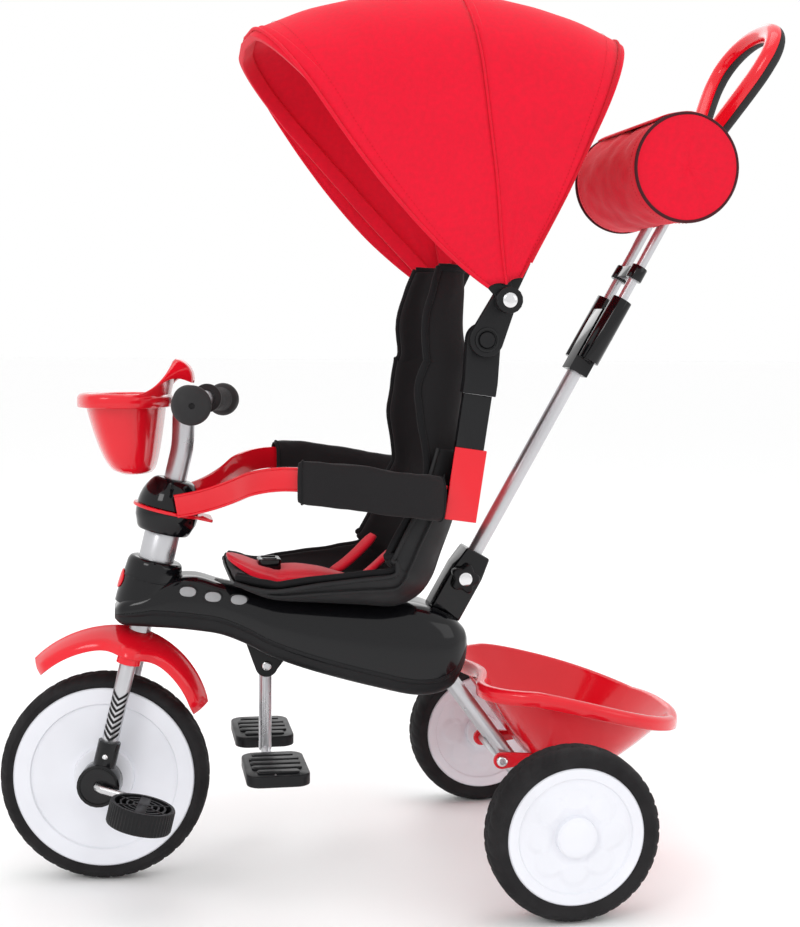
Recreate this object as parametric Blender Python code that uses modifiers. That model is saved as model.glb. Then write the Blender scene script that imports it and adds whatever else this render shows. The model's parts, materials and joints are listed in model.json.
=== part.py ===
"""Children's tricycle with canopy, push bar, two baskets and a folding footrest.

Metres, +Z up. X runs rearward, Y to the rider's right. The wheels stand on z = 0, and at
the end the whole model is moved so that the origin is the middle of its footprint.
"""

import math

import bmesh
import bpy
from mathutils import Matrix, Vector

# ---- Driving dimensions ----
GAP = 0.0003                 # left between pieces that touch
FRONT_WHEEL_R = 0.127
FRONT_TYRE_HALF = 0.0215
FRONT_DISC_R = 0.110
REAR_WHEEL_R = 0.102
REAR_TYRE_HALF = 0.0235
REAR_DISC_R = 0.0805
WHEELBASE = 0.528
REAR_TRACK = 0.452
AXLE_R = 0.005
HUB_HALF = 0.022
CRANK_LENGTH = 0.062
PEDAL_MID_Y = 0.130
PEDAL_R = 0.038
PEDAL_THICK = 0.026

STEER_TILT = math.radians(13.2)
REST_STEER = math.radians(-9.0)
FORK_LEG_Y = 0.045
FORK_LEG_R = 0.010
STEERER_R = 0.0135
HEAD_TUBE_R = 0.0215
HEAD_TUBE_WALL = 0.0025
CROWN_ABOVE_TYRE = 0.023
HEAD_ABOVE_TYRE = 0.068      # lower end of the head tube, along the steering axis
HEAD_TUBE_LONG = 0.125
COLLAR_LOW = 0.113           # collar's lower rim above the head tube's lower end
COLLAR_HALF_TALL = 0.0255
COLLAR_R = 0.038
GUARD_RING_THICK = 0.0045
GUARD_RING_R = 0.0425
STEM_RISE = 0.107            # crossbar above the top of the collar
STEM_LEAN = -0.010           # crossbar ahead of the steering axis
CROSSBAR_HALF = 0.205
CROSSBAR_R = 0.0095
CROSSBAR_SWEEP = math.radians(8)
GRIP_LONG = 0.108
GRIP_R = 0.0155
GRIP_END_R = 0.022
FENDER_WALL = 0.0025

BODY_WALL = 0.003
BACKBONE_R = 0.0125
LEG_R = 0.0095
LEG_Y = 0.040
LEG_TOP = (0.362, -0.052)
AXLE_TUBE_R = 0.011
FOOTREST_X = 0.1515
FOOTREST_PIVOT_Z = -0.057
FOOTREST_TUBE_R = 0.008
FOOTREST_DROP = 0.110
FOOT_PLATE = (0.075, 0.105, 0.016)
FOOT_PLATE_Y = 0.085

DECK_START = (0.1555, 0.0345)    # flat top of the body that carries the seat
DECK_END_X = 0.3355
DECK_SLOPE = 0.0794
SEAT_WALL = 0.003
LINER_THICK = 0.010
BACK_ORIGIN = (0.3675, 0.1352)
BACK_TILT = math.radians(8)
UPRIGHT_DEEP = 0.034
UPRIGHT_THICK = 0.0105
UPRIGHT_Y = 0.1165
UPRIGHT_TALL = 0.150
BACK_PANEL_TALL = 0.086
BACK_PANEL_WALL = 0.003

HINGE_AT = (-0.004, 0.2145)      # in the backrest's frame
HINGE_R = 0.020
BUTTON_R = 0.0095
CANOPY_AT = (0.0105, 0.263)
SOCKET_THICK = 0.0178        # upright's outer face to the canopy arm
ARM_Y = UPRIGHT_Y + SOCKET_THICK
ARM_THICK = 0.012
KNOB_R = 0.0155
PIVOT_R = 0.004
BOW_THICK = 0.003
BOW_WIDE = 0.012
REAR_BOW = (-25.0, 0.342)        # angle ahead of vertical in degrees, height
MID_BOW = (8.0, 0.360)
FRONT_BOW = (43.0, 0.415)
BOW_CORNER = 0.115
BOW_FLARE = 0.018
BOW_FOOT = 0.030             # straight part above the pivot
FABRIC = 0.0015

BAR_FOOT = (0.3901, 0.0282)
BAR_TILT = math.radians(29.0)
BAR_R = 0.0095
SLEEVE_LOW = 0.318
SLEEVE_TALL = 0.105
TUBE_Y = 0.029
UPPER_TUBE_R = 0.00625
BARREL_R = UPPER_TUBE_R + 0.00725
CLIP_LOW = 0.452
CLIP_TALL = 0.020
HANDLE_NECK = 0.650
HANDLE_R = 0.0125
HANDLE_HALF = 0.078          # half of the loop's width at its widest
HANDLE_TALL = 0.158          # neck to crown, along the tube's middle
BAG_R = 0.066
BAG_HALF = 0.120
BAG_UP = 0.583
BAG_FORWARD = 0.035

BASKET_WALL = 0.0025
BASKET_BOLT = (-0.040, 0.036)
LUG_Y = 0.0545

# ---- Sizes that follow from them ----
HEAD_S = FRONT_WHEEL_R + HEAD_ABOVE_TYRE
HEAD_AT = Vector((HEAD_S * math.sin(STEER_TILT), 0, FRONT_WHEEL_R + HEAD_S * math.cos(STEER_TILT)))
REAR_AXLE = (WHEELBASE - HEAD_AT.x, REAR_WHEEL_R - HEAD_AT.z)
COLLAR_S = HEAD_S + COLLAR_LOW
RING_S = COLLAR_S + COLLAR_HALF_TALL
COLLAR_TOP_S = RING_S + GUARD_RING_THICK + 0.036
CROSSBAR_S = COLLAR_TOP_S + STEM_RISE - 0.006
BORE = AXLE_R + 0.0004

COLOURS = {
    "black": ((0.012, 0.012, 0.013), 0.25, 0.0),
    "soft_black": ((0.03, 0.028, 0.028), 0.75, 0.0),
    "red": ((0.72, 0.01, 0.02), 0.25, 0.0),
    "red_fabric": ((0.75, 0.015, 0.04), 0.85, 0.0),
    "charcoal": ((0.05, 0.045, 0.048), 0.9, 0.0),
    "silver": ((0.62, 0.62, 0.64), 0.35, 1.0),
    "white": ((0.85, 0.85, 0.88), 0.4, 0.0),
    "tyre": ((0.04, 0.037, 0.037), 0.85, 0.0),
}


# ---- Scene helpers ----
def clear_scene():
    for obj in list(bpy.data.objects):
        bpy.data.objects.remove(obj, do_unlink=True)


def new_collection(name):
    found = bpy.data.collections.new(name)
    bpy.context.scene.collection.children.link(found)
    return found


def frame(name, parent, at, tilt=0.0, turn=0.0):
    """An empty at a point of its parent, tilted back about Y and then turned about its own Z."""
    empty = bpy.data.objects.new(name, None)
    PARTS.objects.link(empty)
    empty.parent = parent
    empty.matrix_local = (
        Matrix.Translation(at) @ Matrix.Rotation(tilt, 4, "Y") @ Matrix.Rotation(turn, 4, "Z")
    )
    return empty


def finish_piece(name, data, colour, parent, place=None, cutter=False):
    obj = bpy.data.objects.new(name, data)
    (CUTTERS if cutter else PARTS).objects.link(obj)
    obj.parent = parent
    if place is not None:
        obj.matrix_local = place
    if cutter:
        obj.hide_render = True
        obj.display_type = "WIRE"
        return obj
    base, rough, metal = COLOURS[colour]
    finish = bpy.data.materials.new(name)
    finish.use_nodes = True
    shader = finish.node_tree.nodes["Principled BSDF"]
    shader.inputs["Base Color"].default_value = (*base, 1)
    shader.inputs["Roughness"].default_value = rough
    shader.inputs["Metallic"].default_value = metal
    data.materials.append(finish)
    return obj


def along(axis, at=(0, 0, 0)):
    """Places something made along Z so that it runs along X, Y or Z."""
    turns = {"X": Matrix.Rotation(math.pi / 2, 4, "Y"), "Y": Matrix.Rotation(-math.pi / 2, 4, "X")}
    return Matrix.Translation(at) @ turns.get(axis, Matrix.Identity(4))


def turned(name, profile, colour, parent, place=None, steps=24, ring=False, cutter=False):
    """Turns (radius, height) points about Z; they run down the outer side."""
    mesh = bpy.data.meshes.new(name)
    count = len(profile)
    edges = [(i, i + 1) for i in range(count - 1)]
    if ring:
        edges.append((count - 1, 0))
    mesh.from_pydata([(r, 0, z) for r, z in profile], edges, [])
    obj = finish_piece(name, mesh, colour, parent, place, cutter)
    screw = obj.modifiers.new("turn", "SCREW")
    screw.steps = steps
    screw.render_steps = steps
    screw.use_merge_vertices = True
    screw.merge_threshold = 0.00002
    screw.use_smooth_shade = True
    return obj


def rod(name, radius, low, high, colour, parent, place=None, steps=16, cutter=False):
    profile = [(0, high), (radius, high), (radius, low), (0, low)]
    return turned(name, profile, colour, parent, place, steps, cutter=cutter)


def tube(name, points, radius, colour, parent, place=None, sides=6, cutter=False):
    """A round bar along points, as a welded mesh made from a bevelled curve."""
    curve = bpy.data.curves.new(name + "_path", "CURVE")
    curve.dimensions = "3D"
    curve.bevel_depth = radius
    curve.bevel_resolution = sides
    curve.use_fill_caps = True
    spline = curve.splines.new("POLY")
    spline.points.add(len(points) - 1)
    for point, at in zip(spline.points, points):
        point.co = (*at, 1)
    return welded(name, curve, colour, parent, place, cutter)


def plate(name, outline, thick, colour, parent, place=None, cutter=False):
    """A flat outline in its XY plane, given a thickness about that plane."""
    curve = bpy.data.curves.new(name + "_outline", "CURVE")
    curve.dimensions = "2D"
    curve.fill_mode = "BOTH"
    curve.extrude = thick / 2
    spline = curve.splines.new("POLY")
    spline.points.add(len(outline) - 1)
    spline.use_cyclic_u = True
    for point, at in zip(spline.points, outline):
        point.co = (at[0], at[1], 0, 1)
    return welded(name, curve, colour, parent, place, cutter)


def welded(name, curve, colour, parent, place, cutter):
    maker = bpy.data.objects.new(name + "_maker", curve)
    PARTS.objects.link(maker)
    bpy.context.view_layer.update()
    seen = maker.evaluated_get(bpy.context.evaluated_depsgraph_get())
    mesh = bpy.data.meshes.new_from_object(seen)
    mesh.transform(maker.matrix_world)
    bpy.data.objects.remove(maker, do_unlink=True)
    weld(mesh)
    mesh.shade_smooth()
    mesh.set_sharp_from_angle(angle=math.radians(35))
    return finish_piece(name, mesh, colour, parent, place, cutter)


def weld(mesh):
    made = bmesh.new()
    made.from_mesh(mesh)
    bmesh.ops.remove_doubles(made, verts=made.verts, dist=0.00001)
    made.to_mesh(mesh)
    made.free()


def loft(name, rings, colour, parent, place=None, cutter=False, smooth=True):
    """A closed solid through rings of equal count, with flat ends."""
    made = bmesh.new()
    rows = [[made.verts.new(p) for p in ring] for ring in rings]
    count = len(rings[0])
    for low, high in zip(rows, rows[1:]):
        for i in range(count):
            j = (i + 1) % count
            made.faces.new((low[i], low[j], high[j], high[i]))
    made.faces.new(rows[0][::-1])
    made.faces.new(rows[-1])
    bmesh.ops.recalc_face_normals(made, faces=made.faces)
    mesh = bpy.data.meshes.new(name)
    made.to_mesh(mesh)
    made.free()
    if smooth:
        mesh.shade_smooth()
        mesh.set_sharp_from_angle(angle=math.radians(40))
    return finish_piece(name, mesh, colour, parent, place, cutter)


def skin(name, rows, wall, colour, parent, closed=False, ends=False, offset=-1.0, cap=False):
    """An open surface through rows of points, thickened by Solidify."""
    made = bmesh.new()
    grid = [[made.verts.new(p) for p in row] for row in rows]
    count = len(rows[0])
    for low, high in zip(grid, grid[1:]):
        for i in range(count if closed else count - 1):
            j = (i + 1) % count
            made.faces.new((low[i], low[j], high[j], high[i]))
    if ends:
        made.faces.new(grid[0][::-1])
        made.faces.new(grid[-1])
    if cap:
        made.faces.new(grid[-1])
    mesh = bpy.data.meshes.new(name)
    made.to_mesh(mesh)
    made.free()
    mesh.shade_smooth()
    obj = finish_piece(name, mesh, colour, parent)
    solid = obj.modifiers.new("wall", "SOLIDIFY")
    solid.thickness = wall
    solid.offset = offset
    solid.use_even_offset = False
    return obj


def boolean(obj, other, operation):
    mod = obj.modifiers.new(operation.lower(), "BOOLEAN")
    mod.operation = operation
    mod.solver = "EXACT"
    mod.object = other
    return obj


def close_up(obj):
    """Joins the points a Boolean leaves a hair apart."""
    join = obj.modifiers.new("join", "WELD")
    join.merge_threshold = 0.00002
    return obj


def box_ring(mid_x, mid_y, mid_z, half_x, half_y):
    return [
        (mid_x - half_x, mid_y - half_y, mid_z),
        (mid_x + half_x, mid_y - half_y, mid_z),
        (mid_x + half_x, mid_y + half_y, mid_z),
        (mid_x - half_x, mid_y + half_y, mid_z),
    ]


def box(name, low, high, colour, parent, place=None, cutter=False):
    mid_x = (low[0] + high[0]) / 2
    mid_y = (low[1] + high[1]) / 2
    half_x = (high[0] - low[0]) / 2
    half_y = (high[1] - low[1]) / 2
    rings = [box_ring(mid_x, mid_y, z, half_x, half_y) for z in (low[2], high[2])]
    return loft(name, rings, colour, parent, place, cutter, smooth=False)


def rounded(half_x, half_y, radius, steps=4):
    """A rectangle with round corners, as an outline."""
    points = []
    for corner, (sx, sy) in enumerate(((1, 1), (-1, 1), (-1, -1), (1, -1))):
        for step in range(steps + 1):
            angle = math.pi / 2 * (corner + step / steps)
            x = sx * (half_x - radius) + radius * math.cos(angle)
            y = sy * (half_y - radius) + radius * math.sin(angle)
            points.append((x, y))
    return points


def link_outline(first, second, radius_a, radius_b, steps=10):
    """The outline round two discs joined by straight sides."""
    a = Vector(first)
    b = Vector(second)
    heading = math.atan2(b.y - a.y, b.x - a.x)
    points = []
    for centre, radius, start in ((a, radius_a, 90), (b, radius_b, -90)):
        for step in range(steps + 1):
            angle = heading + math.radians(start + 180 * step / steps)
            points.append((centre.x + radius * math.cos(angle), centre.y + radius * math.sin(angle)))
    return points


def side_plate(y):
    """Stands an XZ outline on edge, with its thickness about the plane at y."""
    return Matrix.Translation((0, y, 0)) @ Matrix.Rotation(math.pi / 2, 4, "X")


def sides():
    return (("left", -1), ("right", 1))


# ---- Wheels ----
def tyre_profile(radius, half, bore):
    outer = [
        (bore, half * 0.80),
        (radius - 0.010, half),
        (radius - 0.003, half * 0.86),
        (radius, half * 0.55),
    ]
    return outer + [(r, -z) for r, z in reversed(outer)]


def disc_profile(radius, half, hub, ring):
    outer = [
        (BORE, hub),
        (ring * 0.42, hub - 0.001),
        (ring * 0.44, half - 0.004),
        (ring, half - 0.005),
        (ring + 0.002, half - 0.002),
        (radius, half),
    ]
    return outer + [(r, -z) for r, z in reversed(outer)]


def front_wheel(steering):
    place = along("Y")
    turned("front_tyre", tyre_profile(FRONT_WHEEL_R, FRONT_TYRE_HALF, FRONT_DISC_R + GAP),
           "tyre", steering, place, steps=32, ring=True)
    turned("front_wheel_disc", disc_profile(FRONT_DISC_R, 0.017, HUB_HALF, 0.089),
           "white", steering, place, steps=32, ring=True)
    reach = PEDAL_MID_Y + 0.030
    bend = FORK_LEG_Y + 0.023
    half = [
        (CRANK_LENGTH, -reach, 0),
        (CRANK_LENGTH, -bend - 0.014, 0),
        (CRANK_LENGTH - 0.006, -bend - 0.008, 0),
        (0.006, -bend - 0.001, 0),
        (0, -bend + 0.005, 0),
    ]
    points = half + [(-x, -y, z) for x, y, z in reversed(half)]
    tube("crank_axle", points, AXLE_R, "silver", steering, sides=3)
    for name, side in sides():
        pedal = rod(f"{name}_pedal", PEDAL_R, -PEDAL_THICK / 2, PEDAL_THICK / 2, "soft_black",
                    steering, Matrix.Translation((-side * CRANK_LENGTH, side * PEDAL_MID_Y, 0)),
                    steps=20)
        inner = -side * PEDAL_R * 1.1
        low, high = sorted((inner, side * (0.030 + GAP)))
        hole = rod(f"{name}_pedal_bore", BORE, low, high, None, steering,
                   along("Y", (-side * CRANK_LENGTH, side * PEDAL_MID_Y, 0)), 16, True)
        boolean(pedal, hole, "DIFFERENCE")


def rear_wheels(root):
    for name, side in sides():
        place = along("Y", (WHEELBASE, side * REAR_TRACK / 2, REAR_WHEEL_R))
        turned(f"{name}_rear_tyre", tyre_profile(REAR_WHEEL_R, REAR_TYRE_HALF, REAR_DISC_R + GAP),
               "tyre", root, place, steps=32, ring=True)
        turned(f"{name}_rear_disc", disc_profile(REAR_DISC_R, 0.019, HUB_HALF, 0.064),
               "white", root, place, steps=32, ring=True)
    half = REAR_TRACK / 2 + HUB_HALF - 0.003
    rod("rear_axle", AXLE_R, -half, half, "silver", root, along("Y", (WHEELBASE, 0, REAR_WHEEL_R)), 16)


# ---- Fork, fender, handlebar ----
def fork(steering):
    crown_s = FRONT_WHEEL_R + CROWN_ABOVE_TYRE
    top = RING_S + GUARD_RING_THICK + 0.012
    body = rod("fork", STEERER_R, crown_s - 0.004, top, "silver", steering)
    crown = rod("fork_crown", FORK_LEG_R - 0.001, -FORK_LEG_Y, FORK_LEG_Y, None, steering,
                along("Y", (0, 0, crown_s)), 16, True)
    boolean(body, crown, "UNION")
    for name, side in sides():
        leg = rod(f"fork_{name}_leg", FORK_LEG_R, 0.030, crown_s + 0.006, None, steering,
                  Matrix.Translation((0, side * FORK_LEG_Y, 0)), 16, True)
        boolean(body, leg, "UNION")
        housing(steering, name, side)
    return top


def housing(steering, name, side):
    """The black hub housing at the foot of a fork leg."""
    inner = FORK_LEG_Y - 0.014
    low, high = sorted((side * inner, side * (FORK_LEG_Y + 0.015)))
    shell = rod(f"{name}_axle_housing", 0.0255, low, high, "black", steering, along("Y"), 22)
    socket = rod(f"{name}_housing_socket", FORK_LEG_R + 0.0035, 0, 0.053, None, steering,
                 Matrix.Translation((0, side * FORK_LEG_Y, 0)), 16, True)
    leg_hole = rod(f"{name}_leg_hole", FORK_LEG_R + GAP, 0.030 - GAP, 0.06, None, steering,
                   Matrix.Translation((0, side * FORK_LEG_Y, 0)), 18, True)
    axle_hole = rod(f"{name}_axle_hole", BORE, min(0, side * 0.2), max(0, side * 0.2), None, steering,
                    along("Y"), 16, True)
    boolean(shell, socket, "UNION")
    boolean(shell, leg_hole, "DIFFERENCE")
    boolean(shell, axle_hole, "DIFFERENCE")
    close_up(shell)


def fender(steering):
    rows = []
    steps = 14
    ridge_top = FRONT_WHEEL_R + 0.056
    for step in range(steps + 1):
        t = step / steps
        angle = math.radians(-44 + 85 * t)
        tip = abs(2 * t - 1)
        ridge = ridge_top - (0.019 if t < 0.5 else 0.032) * tip ** 1.6
        lug = math.exp(-((angle / math.radians(8)) ** 2))
        half = 0.035 * (1 - 0.35 * tip ** 3) + 0.024 * lug
        drop = 0.014 - 0.004 * tip
        row = []
        for across in (-1, -0.96, -0.6, -0.25, 0, 0.25, 0.6, 0.96, 1):
            fall = drop * abs(across) ** 1.3 + (0.008 if abs(across) == 1 else 0)
            radius = ridge - fall - lug * 0.004 * abs(across)
            row.append((radius * math.sin(angle), half * across, radius * math.cos(angle)))
        rows.append(row)
    shell = skin("front_fender", rows, FENDER_WALL, "red", steering)
    hole = rod("fender_hole", STEERER_R + 0.0005, FRONT_WHEEL_R + 0.02, FRONT_WHEEL_R + 0.09,
               None, steering, cutter=True)
    boolean(shell, hole, "DIFFERENCE")


def crossbar_path():
    back = CROSSBAR_HALF * math.tan(CROSSBAR_SWEEP)
    ends = [(STEM_LEAN + back, -CROSSBAR_HALF, CROSSBAR_S)]
    ends.append((STEM_LEAN + back * 0.05, -CROSSBAR_HALF * 0.05, CROSSBAR_S))
    return ends + [(x, -y, z) for x, y, z in reversed(ends)]


def handlebar(steering, steerer_top):
    low = steerer_top + GAP
    bend = low + 0.055
    points = [(0, 0, low), (0, 0, bend)]
    rise = CROSSBAR_S - bend
    for step in range(1, 7):
        t = step / 6
        points.append((STEM_LEAN * t * t * (3 - 2 * t), 0, bend + rise * t))
    bar = tube("handlebar", points, STEERER_R, "silver", steering, sides=4)
    cross = tube("crossbar", crossbar_path(), CROSSBAR_R, None, steering, sides=3, cutter=True)
    boolean(bar, cross, "UNION")
    for name, side in sides():
        grip(steering, name, side)


def grip(steering, name, side):
    """A grip with a bulb end, pushed over the crossbar's end."""
    tip = Vector((STEM_LEAN + CROSSBAR_HALF * math.tan(CROSSBAR_SWEEP), side * CROSSBAR_HALF, CROSSBAR_S))
    out = Vector((math.sin(CROSSBAR_SWEEP), side * math.cos(CROSSBAR_SWEEP), 0))
    spin = out.to_track_quat("Z", "Y").to_matrix().to_4x4()
    place = Matrix.Translation(tip) @ spin
    inner = -GRIP_LONG + 0.010
    profile = [
        (0, 0.012), (0.012, 0.0105), (0.019, 0.006), (GRIP_END_R, -0.002), (0.020, -0.011),
        (GRIP_R, -0.016), (GRIP_R, inner + 0.010), (0.0185, inner + 0.006), (0.0185, inner),
        (CROSSBAR_R + 0.0004, inner), (CROSSBAR_R + 0.0004, GAP), (0, GAP),
    ]
    turned(f"{name}_grip", profile, "soft_black", steering, place, 20)


def tub(name, parent, rim, floor, lip, drop, wall=BASKET_WALL, count=36, bulge=0.7, levels=5):
    """A basket: a bowl between a floor outline and a rim outline, with a turned-down lip."""
    middle = sum((Vector(rim(2 * math.pi * i / count)) for i in range(count)), Vector()) / count
    rows = []
    for extra, fall in ((lip, drop), (lip, 0.001), (lip * 0.4, -0.0015)):
        row = []
        for i in range(count):
            p = Vector(rim(2 * math.pi * i / count))
            out = Vector((p.x - middle.x, p.y, 0)).normalized()
            row.append(p + out * extra - Vector((0, 0, fall)))
        rows.append(row)
    for level in range(levels + 1):
        t = 1 - level / levels
        row = []
        for i in range(count):
            top = Vector(rim(2 * math.pi * i / count))
            low = Vector(floor(2 * math.pi * i / count))
            p = low.lerp(top, t ** bulge)
            p.z = low.z + (top.z - low.z) * t
            row.append(p)
        rows.append(row)
    return skin(name, rows, wall, "red", parent, closed=True, offset=1.0, cap=True)


def front_basket(level, steering):
    """The basket hangs over the crossbar; its frame is level, with the crossbar at its origin."""
    def rim(a):
        x = -0.073 + 0.047 * math.copysign(abs(math.cos(a)) ** 0.62, math.cos(a))
        y = 0.098 * math.copysign(abs(math.sin(a)) ** 0.8, math.sin(a))
        pull = 1 - 0.28 * max(0.0, -math.cos(a)) ** 2
        return (x, y * pull, 0.000)

    def floor(a):
        return (-0.060 + 0.018 * math.cos(a), 0.050 * math.sin(a), -0.092)

    bowl = tub("front_basket", level, rim, floor, 0.006, 0.009, count=24, bulge=0.5, levels=3)
    outer = CROSSBAR_R + 0.0050
    arc = [math.radians(180 - 180 * i / 8) for i in range(9)]
    top = [(outer * math.cos(a), outer * math.sin(a) + 0.020) for a in arc]
    near = -CROSSBAR_R + 0.0017
    outline = [(-0.0285, -0.012), (-0.0285, 0.002)] + top + [(outer, -0.004), (near, -0.004), (near, -0.012)]
    hook = plate("basket_hook", outline, 0.050, None, level, side_plate(0), cutter=True)
    bar_space = tube("bar_space", crossbar_path(), CROSSBAR_R + 0.0005, None, steering, sides=3, cutter=True)
    stem_slot = box("stem_slot", (-STEERER_R - 0.0055, -STEERER_R - 0.001, -0.06),
                    (0.03, STEERER_R + 0.001, 0.0135), None, level, cutter=True)
    boolean(bowl, hook, "UNION")
    boolean(bowl, bar_space, "DIFFERENCE")
    boolean(bowl, stem_slot, "DIFFERENCE")


# ---- Steering head: collar and guard ----
def collar(head):
    """Two domes round the head tube, with the guard's ring between them."""
    bore = STEERER_R + GAP
    tube_bore = HEAD_TUBE_R + GAP
    low = COLLAR_LOW
    mid = low + COLLAR_HALF_TALL
    seat = HEAD_TUBE_LONG + GAP
    lower = [(bore, mid), (COLLAR_R, mid), (COLLAR_R - 0.001, mid - 0.010), (0.033, low + 0.005),
             (0.030, low), (tube_bore, low), (tube_bore, seat), (bore, seat)]
    turned("collar_lower", lower, "black", head, None, 24, ring=True)
    base = mid + GUARD_RING_THICK
    upper = [(bore, base + 0.036), (0.020, base + 0.036), (0.026, base + 0.033), (0.033, base + 0.021),
             (COLLAR_R, base + 0.004), (COLLAR_R, base), (bore, base)]
    turned("collar_upper", upper, "black", head, None, 24, ring=True)


def guard_path():
    """Middle line of the guard's arm on the right, from the front to the back uprights."""
    back_x = BACK_ORIGIN[0] - UPRIGHT_DEEP / 2 / math.cos(BACK_TILT) + 0.0055
    side_y = UPRIGHT_Y + UPRIGHT_THICK / 2
    return [
        (0.086, 0.0, 0.136), (0.087, 0.020, 0.139), (0.092, 0.045, 0.150), (0.102, 0.078, 0.166),
        (0.124, 0.108, 0.179), (0.150, 0.129, 0.186), (0.180, 0.143, 0.187), (0.230, 0.150, 0.182),
        (0.285, 0.149, 0.174), (0.320, 0.140, 0.168), (0.342, side_y + 0.004, 0.165),
        (back_x + 0.006, side_y, 0.163),
    ]


def band_rings(path, tall, thick):
    """Upright rectangles along a path."""
    rings = []
    for i, point in enumerate(path):
        here = Vector(point)
        ahead = Vector(path[min(i + 1, len(path) - 1)]) - Vector(path[max(i - 1, 0)])
        out = Vector((ahead.y, -ahead.x, 0)).normalized() * thick / 2
        up = Vector((0, 0, tall / 2))
        rings.append([here - out - up, here + out - up, here + out + up, here - out + up])
    return rings


def arm_guard(chassis, head, back):
    right = guard_path()
    path = [(x, -y, z) for x, y, z in reversed(right)] + right[1:]
    guard = loft("arm_guard", band_rings(path, 0.028, 0.006), "red", chassis, smooth=False)
    ring_low = COLLAR_LOW + COLLAR_HALF_TALL + GAP
    ring_high = ring_low + GUARD_RING_THICK - 2 * GAP
    ring = rod("guard_ring", GUARD_RING_R, ring_low, ring_high, None, head, None, 24, True)
    tongue = box("guard_tongue", (0.020, -0.030, ring_low + GAP),
                 (GUARD_RING_R + 0.0135, 0.030, ring_high - GAP),
                 None, head, cutter=True)
    hole = rod("guard_hole", STEERER_R + 0.0006, 0.09, 0.20, None, head, None, 16, True)
    cap_space = rod("collar_space", COLLAR_R + 0.0006, ring_high + GAP / 2, 0.20, None, head, None, 16, True)
    boolean(guard, ring, "UNION")
    boolean(guard, tongue, "UNION")
    boolean(guard, cap_space, "DIFFERENCE")
    boolean(guard, hole, "DIFFERENCE")
    for name, side in sides():
        space = upright_space(back, name, side)
        boolean(guard, space, "DIFFERENCE")
    for name, side in sides():
        sleeve(chassis, name, side, right)


def upright_space(back, name, side):
    half_x = UPRIGHT_DEEP / 2 + GAP
    low, high = sorted((side * (UPRIGHT_Y - 0.010), side * (UPRIGHT_Y + UPRIGHT_THICK + 0.010)))
    return box(f"{name}_upright_space", (-half_x, low, -0.02), (half_x, high, 0.10), None, back, cutter=True)


def sleeve(chassis, name, side, path):
    """A padded fabric sleeve round one arm of the guard, open at both ends."""
    rows = []
    for x, y, z in path[6:11]:
        row = []
        for i in range(12):
            a = 2 * math.pi * i / 12
            wide = 0.0125 * math.copysign(abs(math.cos(a)) ** 0.7, math.cos(a))
            tall = 0.0250 * math.copysign(abs(math.sin(a)) ** 0.7, math.sin(a))
            row.append((x, side * y + wide, z - 0.003 + tall))
        rows.append(row[::-1])
    skin(f"{name}_guard_sleeve", rows, 0.0055, "charcoal", chassis, closed=True, offset=1.0)


# ---- Chassis ----
def main_frame(chassis, head):
    """Head tube, backbone, two legs and the rear axle tube, welded into one."""
    inner = HEAD_TUBE_R - HEAD_TUBE_WALL
    body = rod("main_frame", HEAD_TUBE_R, 0, HEAD_TUBE_LONG, "silver", head, None, 20)
    hollow = rod("head_bore", inner, -0.01, HEAD_TUBE_LONG + 0.01, None, head, None, 16, True)
    leg_x, leg_z = LEG_TOP
    spine = tube("backbone", [(0.008, 0, 0.026), (0.055, 0, 0.018), (0.2, 0, -0.012),
                              (leg_x - 0.001, 0, leg_z + 0.001)],
                 BACKBONE_R, None, chassis, sides=3, cutter=True)
    boolean(body, spine, "UNION")
    axle_x, axle_z = REAR_AXLE
    half = REAR_TRACK / 2 - HUB_HALF - 0.0085
    foot_x = axle_x - 0.0045
    foot_z = axle_z + 0.0062
    legs = [(foot_x, -LEG_Y, foot_z), (leg_x, -LEG_Y, leg_z), (leg_x, LEG_Y, leg_z), (foot_x, LEG_Y, foot_z)]
    boolean(body, tube("leg_tubes", legs, LEG_R, None, chassis, sides=3, cutter=True), "UNION")
    boolean(body, rod("axle_tube", AXLE_TUBE_R, -half, half, None, chassis,
                      along("Y", (axle_x, 0, axle_z)), 16, True), "UNION")
    boolean(body, rod("basket_bolt", 0.0046, -LUG_Y - 0.006, LUG_Y + 0.006, None, chassis,
                      along("Y", (axle_x + BASKET_BOLT[0], 0, axle_z + BASKET_BOLT[1])), 14, True), "UNION")
    boolean(body, rod("axle_bore", BORE, -0.3, 0.3, None, chassis,
                      along("Y", (axle_x, 0, axle_z)), 18, True), "DIFFERENCE")
    boolean(body, hollow, "DIFFERENCE")
    close_up(body)


def deck_z(x):
    return DECK_START[1] - DECK_SLOPE * (x - DECK_START[0])


def body_stations():
    """Along the body: x, lowest z, highest z and half width."""
    x0 = DECK_START[0]
    x1 = DECK_END_X
    return [
        (-0.0325, 0.0072, 0.0192, 0.020), (-0.0225, 0.0012, 0.030, 0.034), (0.0055, -0.0010, 0.040, 0.041),
        (0.0355, -0.0040, 0.0552, 0.039), (0.0655, -0.0083, 0.0572, 0.036), (0.0955, -0.0138, 0.0482, 0.038),
        (0.1255, -0.0253, 0.0405, 0.045), (x0, -0.0403, DECK_START[1], 0.053), (0.2055, -0.0578,
                                                                                deck_z(0.2055), 0.062),
        (0.2755, -0.0778, deck_z(0.2755), 0.066), (x1, -0.0913, deck_z(x1), 0.066),
        (0.3755, -0.0848, 0.006, 0.060), (0.3955, -0.0618, -0.010, 0.045), (0.4025, -0.0448, -0.022, 0.030),
    ]


def split_z(low, high):
    return low + min(0.022, 0.5 * (high - low))


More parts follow.
